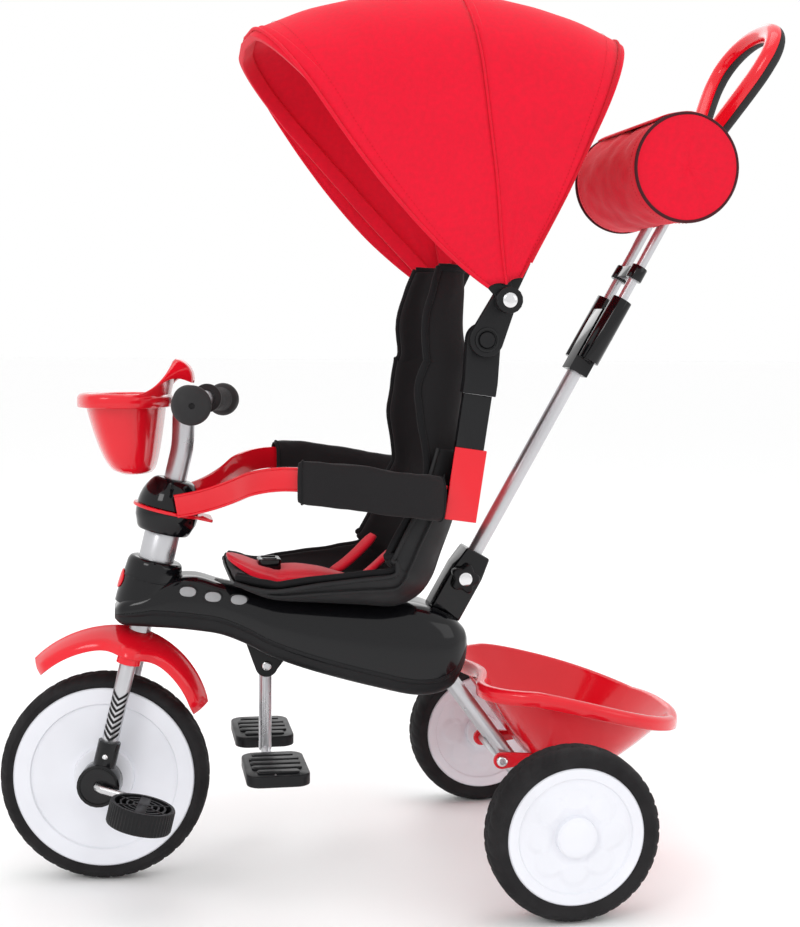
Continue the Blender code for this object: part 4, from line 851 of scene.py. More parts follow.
def body_stations():
    return [
        (-0.0325, 0.0072, 0.0192, 0.020), (-0.0225, 0.0012, 0.030, 0.034), (0.0055, -0.0010, 0.040, 0.041),
        (0.0355, -0.0040, 0.0552, 0.039), (0.0655, -0.0083, 0.0572, 0.036), (0.0955, -0.0138, 0.0482, 0.038),
        (0.1255, -0.0253, 0.0405, 0.045), (0.1555, -0.0403, 0.0345, 0.053), (0.2055, -0.0578, deck(0.2055),
                                                                             0.062),
        (0.2755, -0.0778, deck(0.2755), 0.066), (0.3355, -0.0913, deck(0.3355), 0.066),
        (0.3755, -0.0848, 0.006, 0.060), (0.3955, -0.0618, -0.010, 0.045), (0.4025, -0.0448, -0.022, 0.030),
    ]


DIMPLES = ((0.0988 - 0.0445, 0.358 - 0.3168), (0.129 - 0.0445, 0.351 - 0.3168),
           (0.160 - 0.0445, 0.3475 - 0.3168))


def cover_outline(low, high, half, upper):
    """The upper or lower cover's section at one station, as (y, z) from left to right."""
    split = low + min(0.022, 0.5 * (high - low))
    if upper:
        rise = high - split
        shape = ((1.0, 0), (1.0, 0.08), (0.999, 0.16), (0.995, 0.30), (0.985, 0.44), (0.965, 0.58),
                 (0.93, 0.70), (0.88, 0.81),
                 (0.81, 0.90), (0.71, 0.96), (0.58, 0.99), (0.40, 1.0), (0.2, 1.0))
        right = [(half * w, split + rise * h) for w, h in shape]
        return [(-y, z) for y, z in right] + [(0, high)] + right[::-1]
    depth = split - 0.0004 - low
    shape = ((1.0, 1.0), (1.0, 0.80), (0.965, 0.74), (0.96, 0.66), (0.965, 0.5), (0.95, 0.3), (0.91, 0.12),
             (0.85, 0.02), (0.7, 0), (0.35, 0))
    right = [(half * w, low + depth * h) for w, h in shape]
    return [(-y, z) for y, z in right] + [(0, low)] + right[::-1]


def body_covers():
    stations = spread_stations(body_stations(), 9)
    for upper, name in ((True, "body_upper"), (False, "body_lower")):
        rows = []
        for x, low, high, half in stations:
            rows.append([(x, y, z) for y, z in cover_outline(low, high, half, upper)])
        mesh = grid(name, rows, caps=True, angle=55)
        obj = put(name + "_shell", mesh, "black_gloss" if upper else "black_satin", "chassis",
                  stands_for=(name,), place=CHASSIS)
        bevel(obj, 0.0008, 2, 60)
    boss = [(0, 0.0785), (0.0218, 0.0785), (0.0295, 0.0785), (0.0312, 0.0775), (0.0325, 0.0755),
            (0.0336, 0.0725), (0.0345, 0.064),
            (0.0375, 0.030), (0.0377, 0.020), (0, 0.020)]
    put("head_boss", spun("boss", boss, 96), "black_gloss", "chassis", place=HEAD)
    ring = [(0.0345, 0.0555), (0.0356, 0.0560), (0.0360, 0.0540), (0.0350, 0.0530)]
    put("head_bead", spun("bead", ring, 96), "black_gloss", "chassis", place=HEAD)
    badge()
    dimples_with_painted_reflections(stations)
    for name, side in sides():
        outline = [(-0.027, 0.034)] + arc(0, 0, 0.014, 200, 140) + [(0.026, 0.012), (0.026, 0.034)]
        place = FOOT @ shift(0, side * 0.0145, 0) @ ON_EDGE
        slab(f"{name}_ear", outline, -0.0045, 0.0045, 0.001, "black_satin", "chassis", place)
        cap = FOOT @ shift(0, side * 0.0190, 0) @ outward(side)
        button(f"{name}_ear_rivet", 0.0062, 0.0022, "chrome", "chassis", cap)


def dimples_with_painted_reflections(stations):
    """Three grey ovals in shiny bezels along each side of the upper cover. The flat grey of each oval is a
    painted reflection of the light in a glossy dimple.
    """
    for order, (dx, dz) in enumerate(DIMPLES):
        _, low, high, half = min(stations, key=lambda s: abs(s[0] - dx))
        y = min((p for p in cover_outline(low, high, half, True) if p[0] > 0),
                key=lambda p: abs(p[1] - dz))[0]
        for name, side in sides():
            place = CHASSIS @ shift(dx, side * (y - 0.0004), dz) @ tilt(5)
            place = place @ outward(side)
            # The inner grey oval is a painted reflection of light in a dimple, not a lens.
            for part, material, wide, tall, rise in (("bezel", "black_gloss", 0.0118, 0.0078, 0.0018),
                                                     ("painted_reflection", "painted_reflection_grey", 0.0098, 0.0060, 0.0026)):
                outline = [(wide * power(math.cos(a), 0.8), tall * power(math.sin(a), 0.9))
                           for a in turns(40)]
                slab(f"{name}_{part}_{order + 1}", outline, -0.002, rise, 0.0007, material, "chassis", place)


def badge():
    """A plain oval plate on the front of the head."""
    rows = []
    for grow, out in ((1.0, 0.0002), (1.0, 0.0012), (0.9, 0.0019), (0.5, 0.0023), (0.02, 0.0024)):
        row = []
        for a in turns(48):
            wrap = 0.0135 * math.cos(a) * grow / 0.0368
            h = 0.047 + 0.0120 * math.sin(a) * grow
            r = 0.0376 - (h - 0.030) * 0.09 + out
            row.append((-r * math.cos(wrap), r * math.sin(wrap), h))
        rows.append(row)
    put("head_badge", grid("badge", rows, ring=True, caps=True, angle=50), "red_plastic", "chassis",
        place=HEAD)


def footrest():
    refined("footrest_tube", "silver_paint", "footrest", 0.0006)
    for name, side in sides():
        place = FOOT @ shift(0.004, side * 0.085, -0.110)
        outline = rounded(0.0375, 0.0525, 0.016, 6)
        slab(f"{name}_plate_fine", outline, -0.008, 0.0058, 0.0018, "black_satin", "footrest", place,
             stands_for=(f"{name}_foot_plate",))
        for k in range(5):
            y = -0.036 + 0.018 * k
            half = 0.030 if abs(k - 2) < 2 else 0.025
            slab(f"{name}_plate_pad_{k}", rounded(half, 0.0065, 0.0035, 3), 0.0054, 0.0080, 0.0009,
                 "black_satin", "footrest",
                 place @ shift(0, y, 0))


def rear_basket():
    def rim(a):
        across = 0.143 * power(math.sin(a), 0.75)
        ahead = math.cos(a)
        x = 0.044 + (0.142 if ahead > 0 else 0.140) * power(ahead, 0.75)
        if ahead < 0:
            x += 0.044 * math.exp(-((across / 0.080) ** 2)) * abs(ahead)
        if ahead > 0:
            across *= 1 - 0.22 * ahead ** 2
        z = 0.140 - 0.052 * min(1.0, max(0.0, (x + 0.02) / 0.19)) ** 1.2
        return (x, across, z)

    def floor(a):
        return (0.060 + 0.056 * math.cos(a), 0.080 * math.sin(a), 0.031)

    bowl("rear_basket_fine", rim, floor, 0.009, 0.012, 0.0024, 0.8, "red_plastic", "chassis",
         "rear_basket", AXLE, 160)
    for name, side in sides():
        outline = arc(-0.040, 0.036, 0.0105, 90, 180) + arc(0.020, 0.038, 0.004, -90, 180)
        place = AXLE @ shift(0, side * 0.0545, 0) @ ON_EDGE
        slab(f"{name}_lug", outline, -0.0025, 0.0025, 0.0006, "red_plastic", "chassis", place)
        bolt = AXLE @ shift(-0.040, side * 0.0571, 0.036) @ outward(side)
        button(f"{name}_basket_bolt", 0.0075, 0.0042, "chrome", "chassis", bolt)


# ---- Seat ----
def back_point(depth, up):
    c, s = math.cos(math.radians(BACK_TILT)), math.sin(math.radians(BACK_TILT))
    return (0.3675 + depth * c + up * s, 0.1352 + up * c - depth * s)


def seat_path():
    line = [(0.1035, 0.0572), (0.1250, 0.0455)] + [(x, deck(x) + FIT) for x in (0.1555, 0.2055, 0.2555, 0.3)]
    line += [(0.3305, 0.0352), (0.3490, 0.0572), (0.3605, 0.0882)]
    line += [back_point(0.0090, up) for up in (0.0, 0.028, 0.056, 0.080)]
    half = [0.096, 0.104, 0.110, 0.118, 0.121, 0.121, 0.119, 0.116, 0.113, 0.111, 0.110, 0.108, 0.104]
    rise = [0.004, 0.010, 0.018, 0.030, 0.040, 0.050, 0.062, 0.066, 0.062, 0.055, 0.050, 0.046, 0.042]
    return [(x, z, w, h) for (x, z), w, h in zip(line, half, rise)]


def filled(path, per):
    spine = curve_through([Vector((p[0], p[1], 0)) for p in path], per)
    sizes = curve_through([Vector((p[2], p[3], 0)) for p in path], per)
    return [(a.x, a.y, b.x, b.y) for a, b in zip(spine, sizes)]


BUCKET = ((0, 0), (0.12, 0), (0.24, 0), (0.37, 0), (0.50, 0.004), (0.60, 0.028), (0.70, 0.075),
          (0.79, 0.17), (0.87, 0.31), (0.93, 0.47),
          (0.97, 0.64), (0.99, 0.82), (1.0, 1.0))


def bucket_rows(path, lift, spread, change=None):
    rows = []
    for i, (x, z, half, rise) in enumerate(path):
        before = path[max(i - 1, 0)]
        after = path[min(i + 1, len(path) - 1)]
        heading = Vector((after[0] - before[0], after[1] - before[1])).normalized()
        inward = Vector((-heading.y, heading.x))
        row = []
        for side in (-1, 1):
            part = []
            for wide, up in BUCKET:
                more = change(i / (len(path) - 1), side * wide, up) if change else 0.0
                move = inward * (lift + rise * up + more)
                part.append((x + move.x, side * (half - spread) * wide, z + move.y))
            row = part[:0:-1] if side < 0 else row + part
        rows.append(row)
    return rows


def seat():
    path = filled(seat_path(), 5)
    shell = put("seat_shell_fine", grid("seat", bucket_rows(path, 0.0, 0.0), angle=60), "seat_plastic",
                "chassis",
                stands_for=("seat_shell",), place=CHASSIS)
    up = shell.data.polygons[len(shell.data.polygons) // 3].normal.z > 0
    thicken(shell, 0.003, 1.0 if up else -1.0)
    bevel(shell, 0.001, 2, 50)
    seat_trim(path)
    liner()
    crotch()
    for name, side in sides():
        strap_pad(name, side)


def seat_trim(path):
    """The shell's doubled rim on each side: a rolled edge and a bead just inside it."""
    rows = bucket_rows(path, 0.0, -0.0008)
    for name, k in (("left", 0), ("right", -1)):
        line = [CHASSIS @ Vector(row[k]) for row in rows]
        pipe(f"{name}_seat_rim", line, 0.0028, "seat_plastic", "chassis", 12)
        side = -1 if k == 0 else 1
        inner = [CHASSIS @ Vector((rows[i][2 if k == 0 else -3])) + Vector((0, side * 0.0022, 0))
                 for i in range(len(rows))]
        pipe(f"{name}_seat_bead", inner[8:-6], 0.0014, "seat_plastic", "chassis", 10)


def liner():
    path = seat_path()[:-1]
    for up, half, rise in ((0.110, 0.102, 0.062), (0.150, 0.104, 0.066), (0.190, 0.102, 0.064),
                           (0.230, 0.098, 0.058), (0.270, 0.090, 0.050), (0.298, 0.080, 0.042)):
        x, z = back_point(0.0085 - 0.10 * (up - 0.1) * (up > 0.2), up)
        path.append((x, z, half, rise))
    fine = filled(path, 6)

    def folds(t, wide, up):
        """Sewn channels up the back and soft creases at the sides."""
        back = max(0.0, min(1.0, (t - 0.45) / 0.1))
        channel = abs(math.sin(wide * math.pi * 3.0))
        puff = 0.0042 * (channel ** 0.5) * back * (1 - 0.5 * up)
        cross = 0.0022 * abs(math.sin(t * math.pi * 9)) ** 0.6 * (1 - back) * (1 - 0.6 * up)
        crease = 0.0052 * noise.noise(Vector((wide * 8, t * 7, 3.1))) * (0.35 + up)
        crease += 0.0034 * back * noise.noise(Vector((wide * 4 + t * 9, t * 15 - wide * 6, 1.7)))
        small = 0.0018 * noise.noise(Vector((wide * 22, t * 26, 7.7)))
        return puff + cross + crease + small

    rows = bucket_rows(fine, 0.0052, 0.0065, folds)
    mesh = grid("liner", rows, angle=80)
    obj = put("liner_cloth", mesh, "charcoal_cloth", "chassis", stands_for=("seat_liner",), place=CHASSIS)
    up = mesh.polygons[len(mesh.polygons) // 4].normal.z > 0
    thicken(obj, 0.0088, 1.0 if up else -1.0, 1)
    for name, k in (("left", 0), ("right", -1)):
        edge = [CHASSIS @ Vector(row[k]) for row in rows]
        pipe(f"{name}_liner_binding", edge, 0.0042, "black_cloth", "chassis", 10)
    pipe("liner_top_binding", [CHASSIS @ Vector(p) for p in rows[-1]], 0.0045, "black_cloth", "chassis", 10)


def crotch():
    path = seat_path()
    lift = 0.0156
    rings = []
    shape = ((0, 0.030, 0.006), (1, 0.058, 0.010), (2, 0.059, 0.015), (3, 0.056, 0.017), (4, 0.030, 0.010))
    points = curve_through([Vector((path[i][0], path[i][1] + lift + (0.004 if i < 2 else 0), half)) for i,
                            half, _ in shape], 8)
    thick = curve_through([Vector((t, 0, 0)) for _, _, t in shape], 8)
    total = len(points)
    for i, (p, t) in enumerate(zip(points, thick)):
        s = i / (total - 1)
        half = p.z * (0.35 + 0.65 * min(1.0, min(s, 1 - s) * 7) ** 0.5)
        x, base = p.x, p.y
        ring = []
        for a in turns(40):
            c, n = math.cos(a), math.sin(a)
            y = half * power(c, 0.8)
            top = t.x * (1 - abs(y / half) ** 3 * 0.55)
            seam = 0.0022 * math.exp(-((abs(y) - half * 0.72) / 0.004) ** 2)
            seam += 0.0025 * math.exp(-(abs(s - 0.55) / 0.03) ** 2)
            z = base + (top - seam if n > 0 else 0.0006) * min(1.0, abs(n) * 2.2)
            ring.append((x, y, z + 0.0006 * noise.noise(Vector((x * 60, y * 60, n)))))
        rings.append(ring)
    obj = put("crotch_pad_cloth", grid("crotch", rings, ring=True, caps=True, angle=80), "red_pad", "chassis",
              stands_for=("crotch_pad",), place=CHASSIS)
    low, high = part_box("buckle")
    mid = (low + high) / 2
    slab("buckle_fine", rounded(0.014, 0.016, 0.005), low.z, high.z, 0.002, "black_gloss", "chassis",
         shift(mid.x, mid.y, 0),
         stands_for=("buckle",))
    for k, y in enumerate((-0.0095, 0.0095)):
        slab(f"buckle_prong_{k}", rounded(0.009, 0.003, 0.002, 3), high.z - 0.001, high.z + 0.0010, 0.0005,
             "black_satin", "chassis",
             shift(mid.x, mid.y + y, 0))


def strap_pad(name, side):
    x0 = 0.245
    z0 = deck(x0) + 0.0148
    path = []
    for k in range(13):
        t = k / 12
        path.append(Vector((x0 - 0.002 + 0.055 * t, side * (0.057 + 0.008 * t),
                            z0 + 0.0052 + 0.045 * t ** 1.3)))
    section = [(a, b * 0.32) for a, b in rounded(0.0160, 0.0125, 0.010, 5)]

    def end(t):
        return 0.72 + 0.28 * min(1.0, min(t, 1 - t) * 8) ** 0.5

    mesh = swept("pad", path, section, size=end, angle=80)
    obj = put(f"{name}_strap_pad_cloth", mesh, "red_pad", "chassis", stands_for=(f"{name}_strap_pad",),
              place=CHASSIS)


def backrest():
    refined("back_uprights", "black_gloss", "chassis", 0.0016, segments=3)
    refined("back_panel", "red_plastic", "chassis", 0.0009)
    for name, side in sides():
        refined(f"{name}_hinge_socket", "black_satin", "chassis", 0.0018, segments=3)
        refined(f"{name}_canopy_arm", "black_satin", "canopy_arms", 0.0018, segments=3)
        low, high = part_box(f"{name}_hinge_button")
        middle = (low + high) / 2
        face = Matrix.Translation((middle.x, low.y if side < 0 else high.y, middle.z))
        turn = outward(side)
        length = high.y - low.y
        profile = [(0, -0.0006), (0.0045, -0.0006), (0.0062, 0), (0.0088, 0), (0.0095, -0.0010),
                   (0.0095, -length), (0, -length)]
        put(f"{name}_button_fine", spun("button", profile, 48), "black_satin", f"{name}_hinge_button",
            stands_for=(f"{name}_hinge_button",), place=face @ turn)
        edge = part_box(f"{name}_canopy_arm")
        outer = edge[0].y if side < 0 else edge[1].y
        at = joint_at("canopy_fold")
        button(f"{name}_knob_dome", 0.0085, 0.0026, "chrome", "canopy_arms",
               Matrix.Translation((at.x, outer, at.z)) @ turn)
        ring = [(0.0118, 0.0014), (0.0142, 0.0014), (0.0148, -0.001), (0.0118, -0.001)]
        put(f"{name}_hinge_ring", spun("ring", ring, 64), "black_gloss", "canopy_arms",
            place=Matrix.Translation((middle.x, side * (ARM_Y + ARM_HALF), middle.z)) @ turn)


# ---- Canopy ----
REAR, MIDDLE, FRONT = (-25.0, 0.342), (8.0, 0.360), (43.0, 0.415)


def arch(foot_y, height, extra, corner=16):
    """Half of a bow's line in its own plane, from the foot to the crown: (y, height)."""
    wide = foot_y + 0.018
    top = height * 0.42
    points = [(foot_y + extra, 0.0)]
    for k in range(9):
        h = 0.030 + (top - 0.030) * k / 8
        s = k / 8
        points.append((foot_y + 0.018 * s * s * (3 - 2 * s) + extra, h))
    start = height - 0.115
    for k in range(corner + 1):
        a = math.pi / 2 * k / corner
        points.append((wide * 0.38 + (wide * 0.62 + extra) * math.cos(a),
                       start + (0.115 + extra) * math.sin(a)))
    points.append((0, height + extra + 0.004))
    return points


def even(points, count, low):
    """The same line in even steps, from the height low to its end."""
    pts = [Vector((y, h, 0)) for y, h in points]
    run = [0.0]
    for a, b in zip(pts, pts[1:]):
        run.append(run[-1] + (b - a).length)
    out = []
    k = 0
    for i in range(count):
        d = low + (run[-1] - low) * i / (count - 1)
        while k < len(run) - 2 and run[k + 1] < d:
            k += 1
        t = (d - run[k]) / max(run[k + 1] - run[k], 1e-9)
        out.append(pts[k].lerp(pts[k + 1], min(1.0, t)))
    return [(p.x, p.y) for p in out]


def canopy_row(angle, height, foot, extra, sag, low, creases, spread):
    half = even(arch(foot, height - sag, extra), 44, low)
    full = [(-y, h) for y, h in half] + [(y, h) for y, h in reversed(half[:-1])]
    row = []
    for y, h in full:
        y += math.copysign((spread + 0.0025) * max(0.0, 1 - h / 0.075), y)
        lean = math.radians(angle) + creases * max(0.0, 1 - h / height) ** 1.5
        x = -h * math.sin(lean)
        z = h * math.cos(lean)
        n = noise.noise(Vector((x * 9, y * 7, z * 9))) + 0.5 * noise.noise(Vector((x * 24, y * 16, z * 24)))
        out = Vector((x, y, z)).normalized()
        drawn = noise.noise(Vector((math.radians(angle) * 9, math.copysign(2.0, y), h * 3)))
        drawn *= max(0.0, 1 - h / (height * 0.9)) * min(1.0, h / 0.05)
        row.append(Vector((x, y, z)) + out * 0.0020 * n + Vector((0, math.copysign(0.0030 * drawn, y), 0)))
    return row


def panel_rows(back, front, feet, count, lows, bulges, outmost):
    rows = []
    for step in range(count + 1):
        t = step / count
        sag = 0.006 * math.sin(math.pi * t)
        extra = 0.0036 + 0.0006 * math.sin(math.pi * t)
        foot = feet[0] + (feet[1] - feet[0]) * t
        rows.append(canopy_row(back[0] + (front[0] - back[0]) * t, back[1] + (front[1] - back[1]) * t,
                               foot, extra, sag, lows[0] + (lows[1] - lows[0]) * t,
                               bulges[0] + (bulges[1] - bulges[0]) * t, outmost - foot))
    return rows


def cloth_sheet(name, rows, node):
    mesh = grid(name, rows, angle=85)
    obj = put(name, mesh, "red_cloth", None, stands_for=(node,), place=PIVOT)
    up = mesh.polygons[len(mesh.polygons) // 2].normal.z > 0
    thicken(obj, 0.0012, -1.0 if up else 1.0)
    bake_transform(obj)


def canopy():
    at = joint_at("canopy_fold")

    feet = [ARM_Y + ARM_HALF + FIT + 0.0015 + k * 0.0033 for k in range(3)]
    rear = panel_rows(REAR, MIDDLE, (feet[0], feet[1]), 22, (0.030, 0.018), (-math.radians(6), 0.0),
                      feet[2])
    front = panel_rows(MIDDLE, FRONT, (feet[1], feet[2]), 22, (0.018, 0.028), (0.0, math.radians(17)),
                       feet[2])
    cloth_sheet("canopy_rear_cloth", rear, "canopy_rear_panel")
    cloth_sheet("canopy_front_cloth", front, "canopy_front_panel")
    world = [[at + p for p in row] for row in (rear[0], rear[-1], front[-1], rear[2], front[-3])]
    out = [[p + (p - at).normalized() * 0.0008 for p in row] for row in world]
    pipe("canopy_rear_hem", out[0], 0.0017, "red_cloth_dark", "canopy_arms", 8)
    pipe("canopy_mid_seam", out[1], 0.0015, "red_cloth", "middle_bow", 8)
    pipe("canopy_front_hem", out[2], 0.0022, "red_cloth", "front_bow", 8)
    stitches("canopy_rear_stitches", out[3], 0.0030, 0.0016, 0.0004, "red_cloth_dark", "canopy_arms")
    stitches("canopy_front_stitches", out[4], 0.0030, 0.0016, 0.0004, "red_cloth_dark", "front_bow")
    for order, (name, body) in enumerate((("rear_bow", "canopy_arms"), ("mid_bow", "middle_bow"),
                                          ("front_bow", "front_bow"))):
        refined(name, "silver_paint", body, 0.0004)
        lean, height = (REAR, MIDDLE, FRONT)[order]
        pocket = [Vector((0, y, h)) for y, h in even(arch(feet[order], height, -0.0012), 60, 0.052)]
        pocket += [Vector((0, -p.y, p.z)) for p in reversed(pocket[:-1])]
        hem = swept("pocket", pocket, rounded(0.0043, 0.0090, 0.0016, 3), up=(1, 0, 0), angle=60)
        put(f"{name}_pocket", hem, "red_cloth", body, place=PIVOT @ tilt(-lean))
        for side_name, side in sides():
            sheath = [Vector((0, side * feet[order], h)) for h in (0.008, 0.014, 0.045, 0.050)]
            place = PIVOT @ tilt(-lean)
            mesh = swept("sheath", sheath, rounded(0.0078, 0.0021, 0.0009, 3), up=(0, 1, 0))
            put(f"{name}_{side_name}_end", mesh, "black_satin", body, place=place)


# ---- Push bar, handle, bag ----
def push_bar():
    refined("main_frame", "silver_paint", "chassis", 0.0006)
    refined("rear_axle", "steel", "chassis", 0.0006)
    refined("bar_socket", "black_gloss", "chassis", 0.0026, segments=3)
    pipe("lower_bar_fine", [Vector((0, 0, z)) for z in (-0.010, 0.02, 0.2, 0.348)], 0.0095, "silver_paint",
         "chassis", 32,
         stands_for=("lower_bar",), place=BAR)
    refined("height_sleeve", "black_gloss", "chassis", 0.0014, segments=3)
    refined("height_pin", "steel", "height_pin", 0.0005)
    knob()
    for name, side in sides():
        tube = [Vector((0, side * TUBE_Y, z)) for z in (0.363, 0.40, 0.60, 0.689)]
        more = {"stands_for": ("upper_tubes",)} if side < 0 else {}
        pipe(f"{name}_upper_tube", tube, 0.00625, "silver_paint", "upper_bar", 24, place=BAR, **more)
        cuff = [(0.0064, 0.470), (0.0098, 0.470), (0.0105, 0.4690), (0.0105, 0.4530), (0.0098, 0.452),
                (0.0064, 0.452)]
        put(f"{name}_cuff", spun("cuff", cuff, 40), "black_gloss", "upper_bar",
            place=BAR @ shift(0, side * TUBE_Y, 0))
    slab("cuff_bridge", rounded(0.0078, 0.0220, 0.002), 0.4535, 0.4685, 0.001, "black_gloss", "upper_bar",
         BAR)
    wing = [Vector((0.013, 0, 0.395)), Vector((0.019, 0, 0.397)), Vector((0.021, 0.004, 0.399))]
    pipe("sleeve_wing", wing, 0.0022, "chrome", "chassis", 10, place=BAR)
    handle()
    bag()


def knob():
    at = joint_at("bar_knob_turn")
    low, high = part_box("bar_knob")
    outline = []
    for a in turns(80):
        r = 0.0165 + 0.0025 * math.cos(5 * a)
        outline.append((r * math.cos(a), r * math.sin(a)))
    turn = ON_EDGE
    place = Matrix.Translation((at.x, high.y, at.z)) @ turn
    thick = high.y - low.y
    slab("star_knob", outline, 0.0, thick - 0.001, 0.0026, "black_satin", "bar_knob", place,
         stands_for=("bar_knob",))
    button("star_knob_dome", 0.0085, 0.0012, "chrome", "bar_knob", place @ shift(0, 0, thick - 0.0013))


def handle_path():
    neck, tall, wide, tube = 0.650, 0.158, 0.078, TUBE_Y
    half = [Vector((0, tube, neck)), Vector((0, tube, neck + 0.008))]
    for share, up in ((0.34, 0.23), (0.70, 0.42), (0.93, 0.57)):
        half.append(Vector((0, tube + (wide - tube) * share, neck + tall * up)))
    for step in range(13):
        a = math.pi / 2 * step / 12
        half.append(Vector((0, wide * math.cos(a) ** 0.9, neck + tall * (0.70 + 0.30 * math.sin(a)))))
    return half + [Vector((p.x, -p.y, p.z)) for p in reversed(half[:-1])]


def handle():
    """A teardrop loop: black rubber half behind, red glossy half in front."""
    path = curve_through(handle_path(), 3)
    for name, node, material, sign in (("handle_grip", "handle_loop", "grip_rubber", -1),
                                       ("handle_front", "handle_insert", "red_plastic", 1)):
        outline = []
        for k in range(17):
            a = math.pi * k / 16
            outline.append((0.0125 * math.cos(a), sign * (0.0003 + 0.0122 * math.sin(a))))
        outline += [(-0.0118, sign * 0.0002), (0.0118, sign * 0.0002)]
        rows = []
        for point, ahead in zip(path, directions(path)):
            out = Vector((0, ahead.z, -ahead.y)).normalized()
            rows.append([point + out * u + Vector((-v, 0, 0)) for u, v in outline])
        mesh = grid(name, rows, ring=True, caps=True, angle=40)
        put(name, mesh, material, "upper_bar", stands_for=(node,), place=BAR)
    for name, side in sides():
        collar = [(0.0064, 0.6545), (0.0128, 0.6545), (0.0133, 0.6535), (0.0133, 0.6430), (0.0120, 0.6400),
                  (0.0064, 0.6400)]
        put(f"{name}_handle_collar", spun("collar", collar, 40), "grip_rubber", "upper_bar",
            place=BAR @ shift(0, side * TUBE_Y, 0))


def bag():
    """A soft round bag across the push bar: piped ends, a stitched line near each end, a flap over the top
    and two straps over the tubes.
    """
    place = BAR @ shift(-0.035, 0, BAG_Z)
    half, radius = 0.120, 0.066
    rows = []
    steps = 96
    stops = [-1, -0.992, -0.96, -0.9] + [-0.85 + 1.7 * k / 22 for k in range(23)] + [0.9, 0.96, 0.992, 1]
    for s in stops:
        row = []
        for a in turns(steps):
            n = noise.noise(Vector((math.cos(a) * 2.2, s * 3.4, math.sin(a) * 2.2)))
            m = noise.noise(Vector((math.cos(a) * 5.5, s * 11, math.sin(a) * 5.5)))
            r = radius * (0.975 - 0.012 * (1 - s * s)) + 0.0030 * n * (1 - s ** 6) + 0.0011 * m * (1 - s ** 8)
            r -= 0.0025 * max(0.0, 1 - abs(abs(s) - 0.985) / 0.02)
            x, z = r * math.cos(a), r * math.sin(a)
            if x > 0.0285 and abs(s) < 0.34:
                x = 0.0285 + (x - 0.0285) * max(0.0, (abs(s) - 0.30) / 0.04)
            row.append((x, half * s * 0.985, z - 0.0015 * (1 - s * s)))
        rows.append(row)
    for cap in (0, -1):
        edge = rows[cap]
        side = -1 if cap == 0 else 1
        ends = []
        for k, dome in ((0.965, 0.0016), (0.85, 0.0014), (0.6, 0.0026), (0.3, 0.0032), (0.03, 0.0034)):
            ends.append([(x * k, y + side * (dome + 0.0008 * noise.noise(Vector((x * 40, z * 40, side)))),
                          z * k) for x, y, z in edge])
        rows = ends[::-1] + rows if cap == 0 else rows + ends
    mesh = grid("bag", rows, ring=True, caps=True, angle=80)
    obj = put("bag_cloth", mesh, "red_cloth", "upper_bar", stands_for=("bag",), place=place)
    for name, side in sides():
        seam = radius - 0.0022
        ring = [place @ Vector((seam * math.cos(a), side * (half * 0.985), seam * math.sin(a) - 0.0003))
                for a in turns(72)]
        pipe(f"{name}_bag_piping", ring, 0.0021, "dark_piping", "upper_bar", 10, closed=True)
        line = radius - 0.0005
        inner = [place @ Vector((line * math.cos(a), side * (half - 0.018), line * math.sin(a)))
                 for a in turns(120)]
        stitches(f"{name}_bag_stitches", inner, 0.0028, 0.0016, 0.0004, "red_cloth_dark", "upper_bar")
    flap = []
    for i in range(25):
        a = math.radians(35 + 118 * i / 24)
        r = radius + 0.0006 + 0.0005 * math.sin(i * 0.9)
        flap.append([(r * math.cos(a), y * half * 0.93, r * math.sin(a) - 0.0005)
                     for y in [-1 + 2 * k / 30 for k in range(31)]])
    cover = put("bag_flap", grid("flap", flap, angle=80), "red_cloth", "upper_bar", place=place)
    thicken(cover, 0.0014, 0.0)
    for name, side in sides():
        loop = [2 * math.pi * k / 40 for k in range(41)]
        band = [[(0.0098 * math.cos(a), 0.0098 * math.sin(a), z) for a in loop] for z in (-0.011, 0.011)]
        strap = put(f"{name}_bag_strap", grid("strap", band, angle=80), "red_cloth_dark", "upper_bar",
                    place=BAR @ shift(-0.001, side * TUBE_Y, BAG_Z))
        thicken(strap, 0.0012, 0.0)


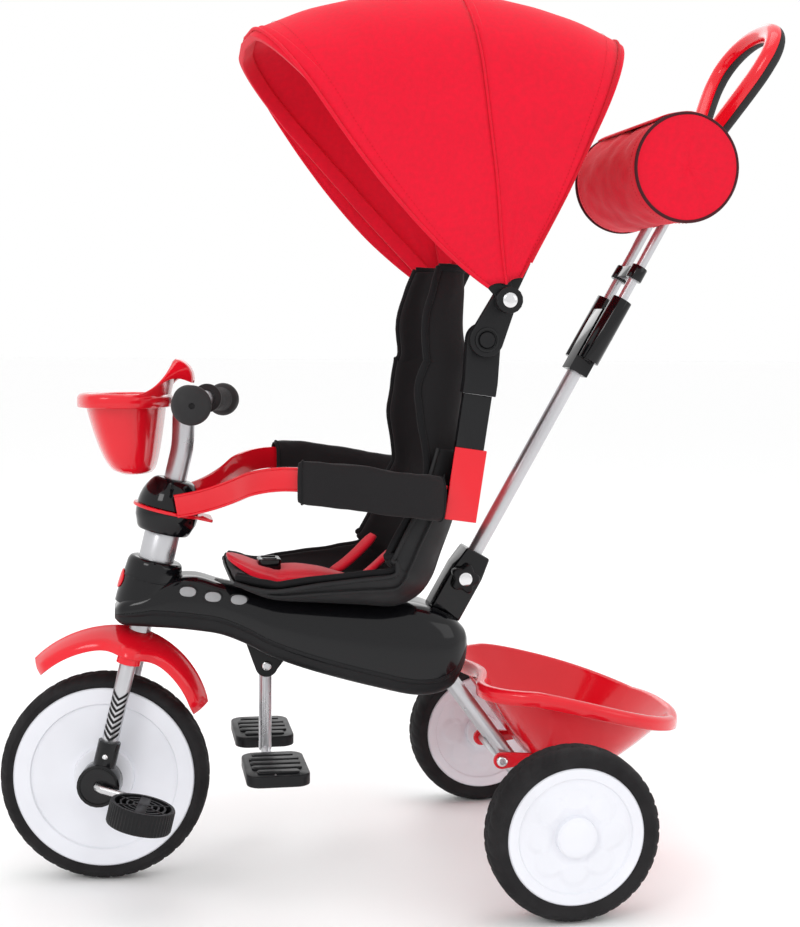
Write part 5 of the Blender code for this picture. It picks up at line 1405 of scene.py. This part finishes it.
# ---- Room, light and camera ----
def floor_and_light():
    paint = Paint("pale_floor")
    paint.fill(paint.shader, {"Base Color": (0.99, 0.99, 0.99, 1), "Roughness": 0.55})
    rows = [[(x, -12 + 1.5 * k, 0) for x in (-14, -7, 0, 7, 14)] for k in range(25)]
    mesh = grid("floor", rows, angle=80)
    ground = bpy.data.objects.new("floor", mesh)
    COLLECTION.objects.link(ground)
    mesh.materials.append(paint.material)
    world = bpy.data.worlds.new("room")
    world.use_nodes = True
    world.node_tree.nodes["Background"].inputs["Color"].default_value = (1, 1, 1, 1)
    world.node_tree.nodes["Background"].inputs["Strength"].default_value = 1.0
    bpy.context.scene.world = world
    bpy.context.scene.view_settings.view_transform = "Standard"
    lamps = (("key", (-2.2, -2.6, 2.6), 26, 1.2), ("fill", (2.6, -2.0, 1.6), 8, 1.6),
             ("top", (0.2, 0.2, 3.2), 16, 1.8),
             ("back", (0.5, 2.6, 1.8), 10, 1.6))
    for name, at, power, size in lamps:
        light = bpy.data.lights.new(name, "AREA")
        light.energy = power
        light.size = size
        lamp = bpy.data.objects.new(name, light)
        COLLECTION.objects.link(lamp)
        lamp.location = at
        lamp.rotation_euler = (Vector((0, 0, 0.5)) - Vector(at)).to_track_quat("-Z", "Y").to_euler()


def camera():
    lens = bpy.data.cameras.new("camera")
    lens.lens = 58.9
    lens.sensor_width = 36
    eye = bpy.data.objects.new("camera", lens)
    COLLECTION.objects.link(eye)
    yaw, pitch, roll = math.radians(10.63), math.radians(5.41), math.radians(0.61)
    ahead = Vector((math.sin(yaw) * math.cos(pitch), math.cos(yaw) * math.cos(pitch), -math.sin(pitch)))
    right = Vector((math.cos(yaw), -math.sin(yaw), 0))
    up = right.cross(ahead)
    turned_right = right * math.cos(roll) + up * math.sin(roll)
    turned_up = up * math.cos(roll) - right * math.sin(roll)
    turn = Matrix((turned_right, turned_up, -ahead)).transposed().to_4x4()
    steer = joint_at("steering_turn")
    eye.matrix_world = Matrix.Translation((steer.x + 0.0155, -1.8587, 0.6875)) @ turn
    bpy.context.scene.camera = eye


camera()
floor_and_light()
wheels()
steering()
collars()
guard()
body_covers()
footrest()
rear_basket()
seat()
backrest()
canopy()
push_bar()
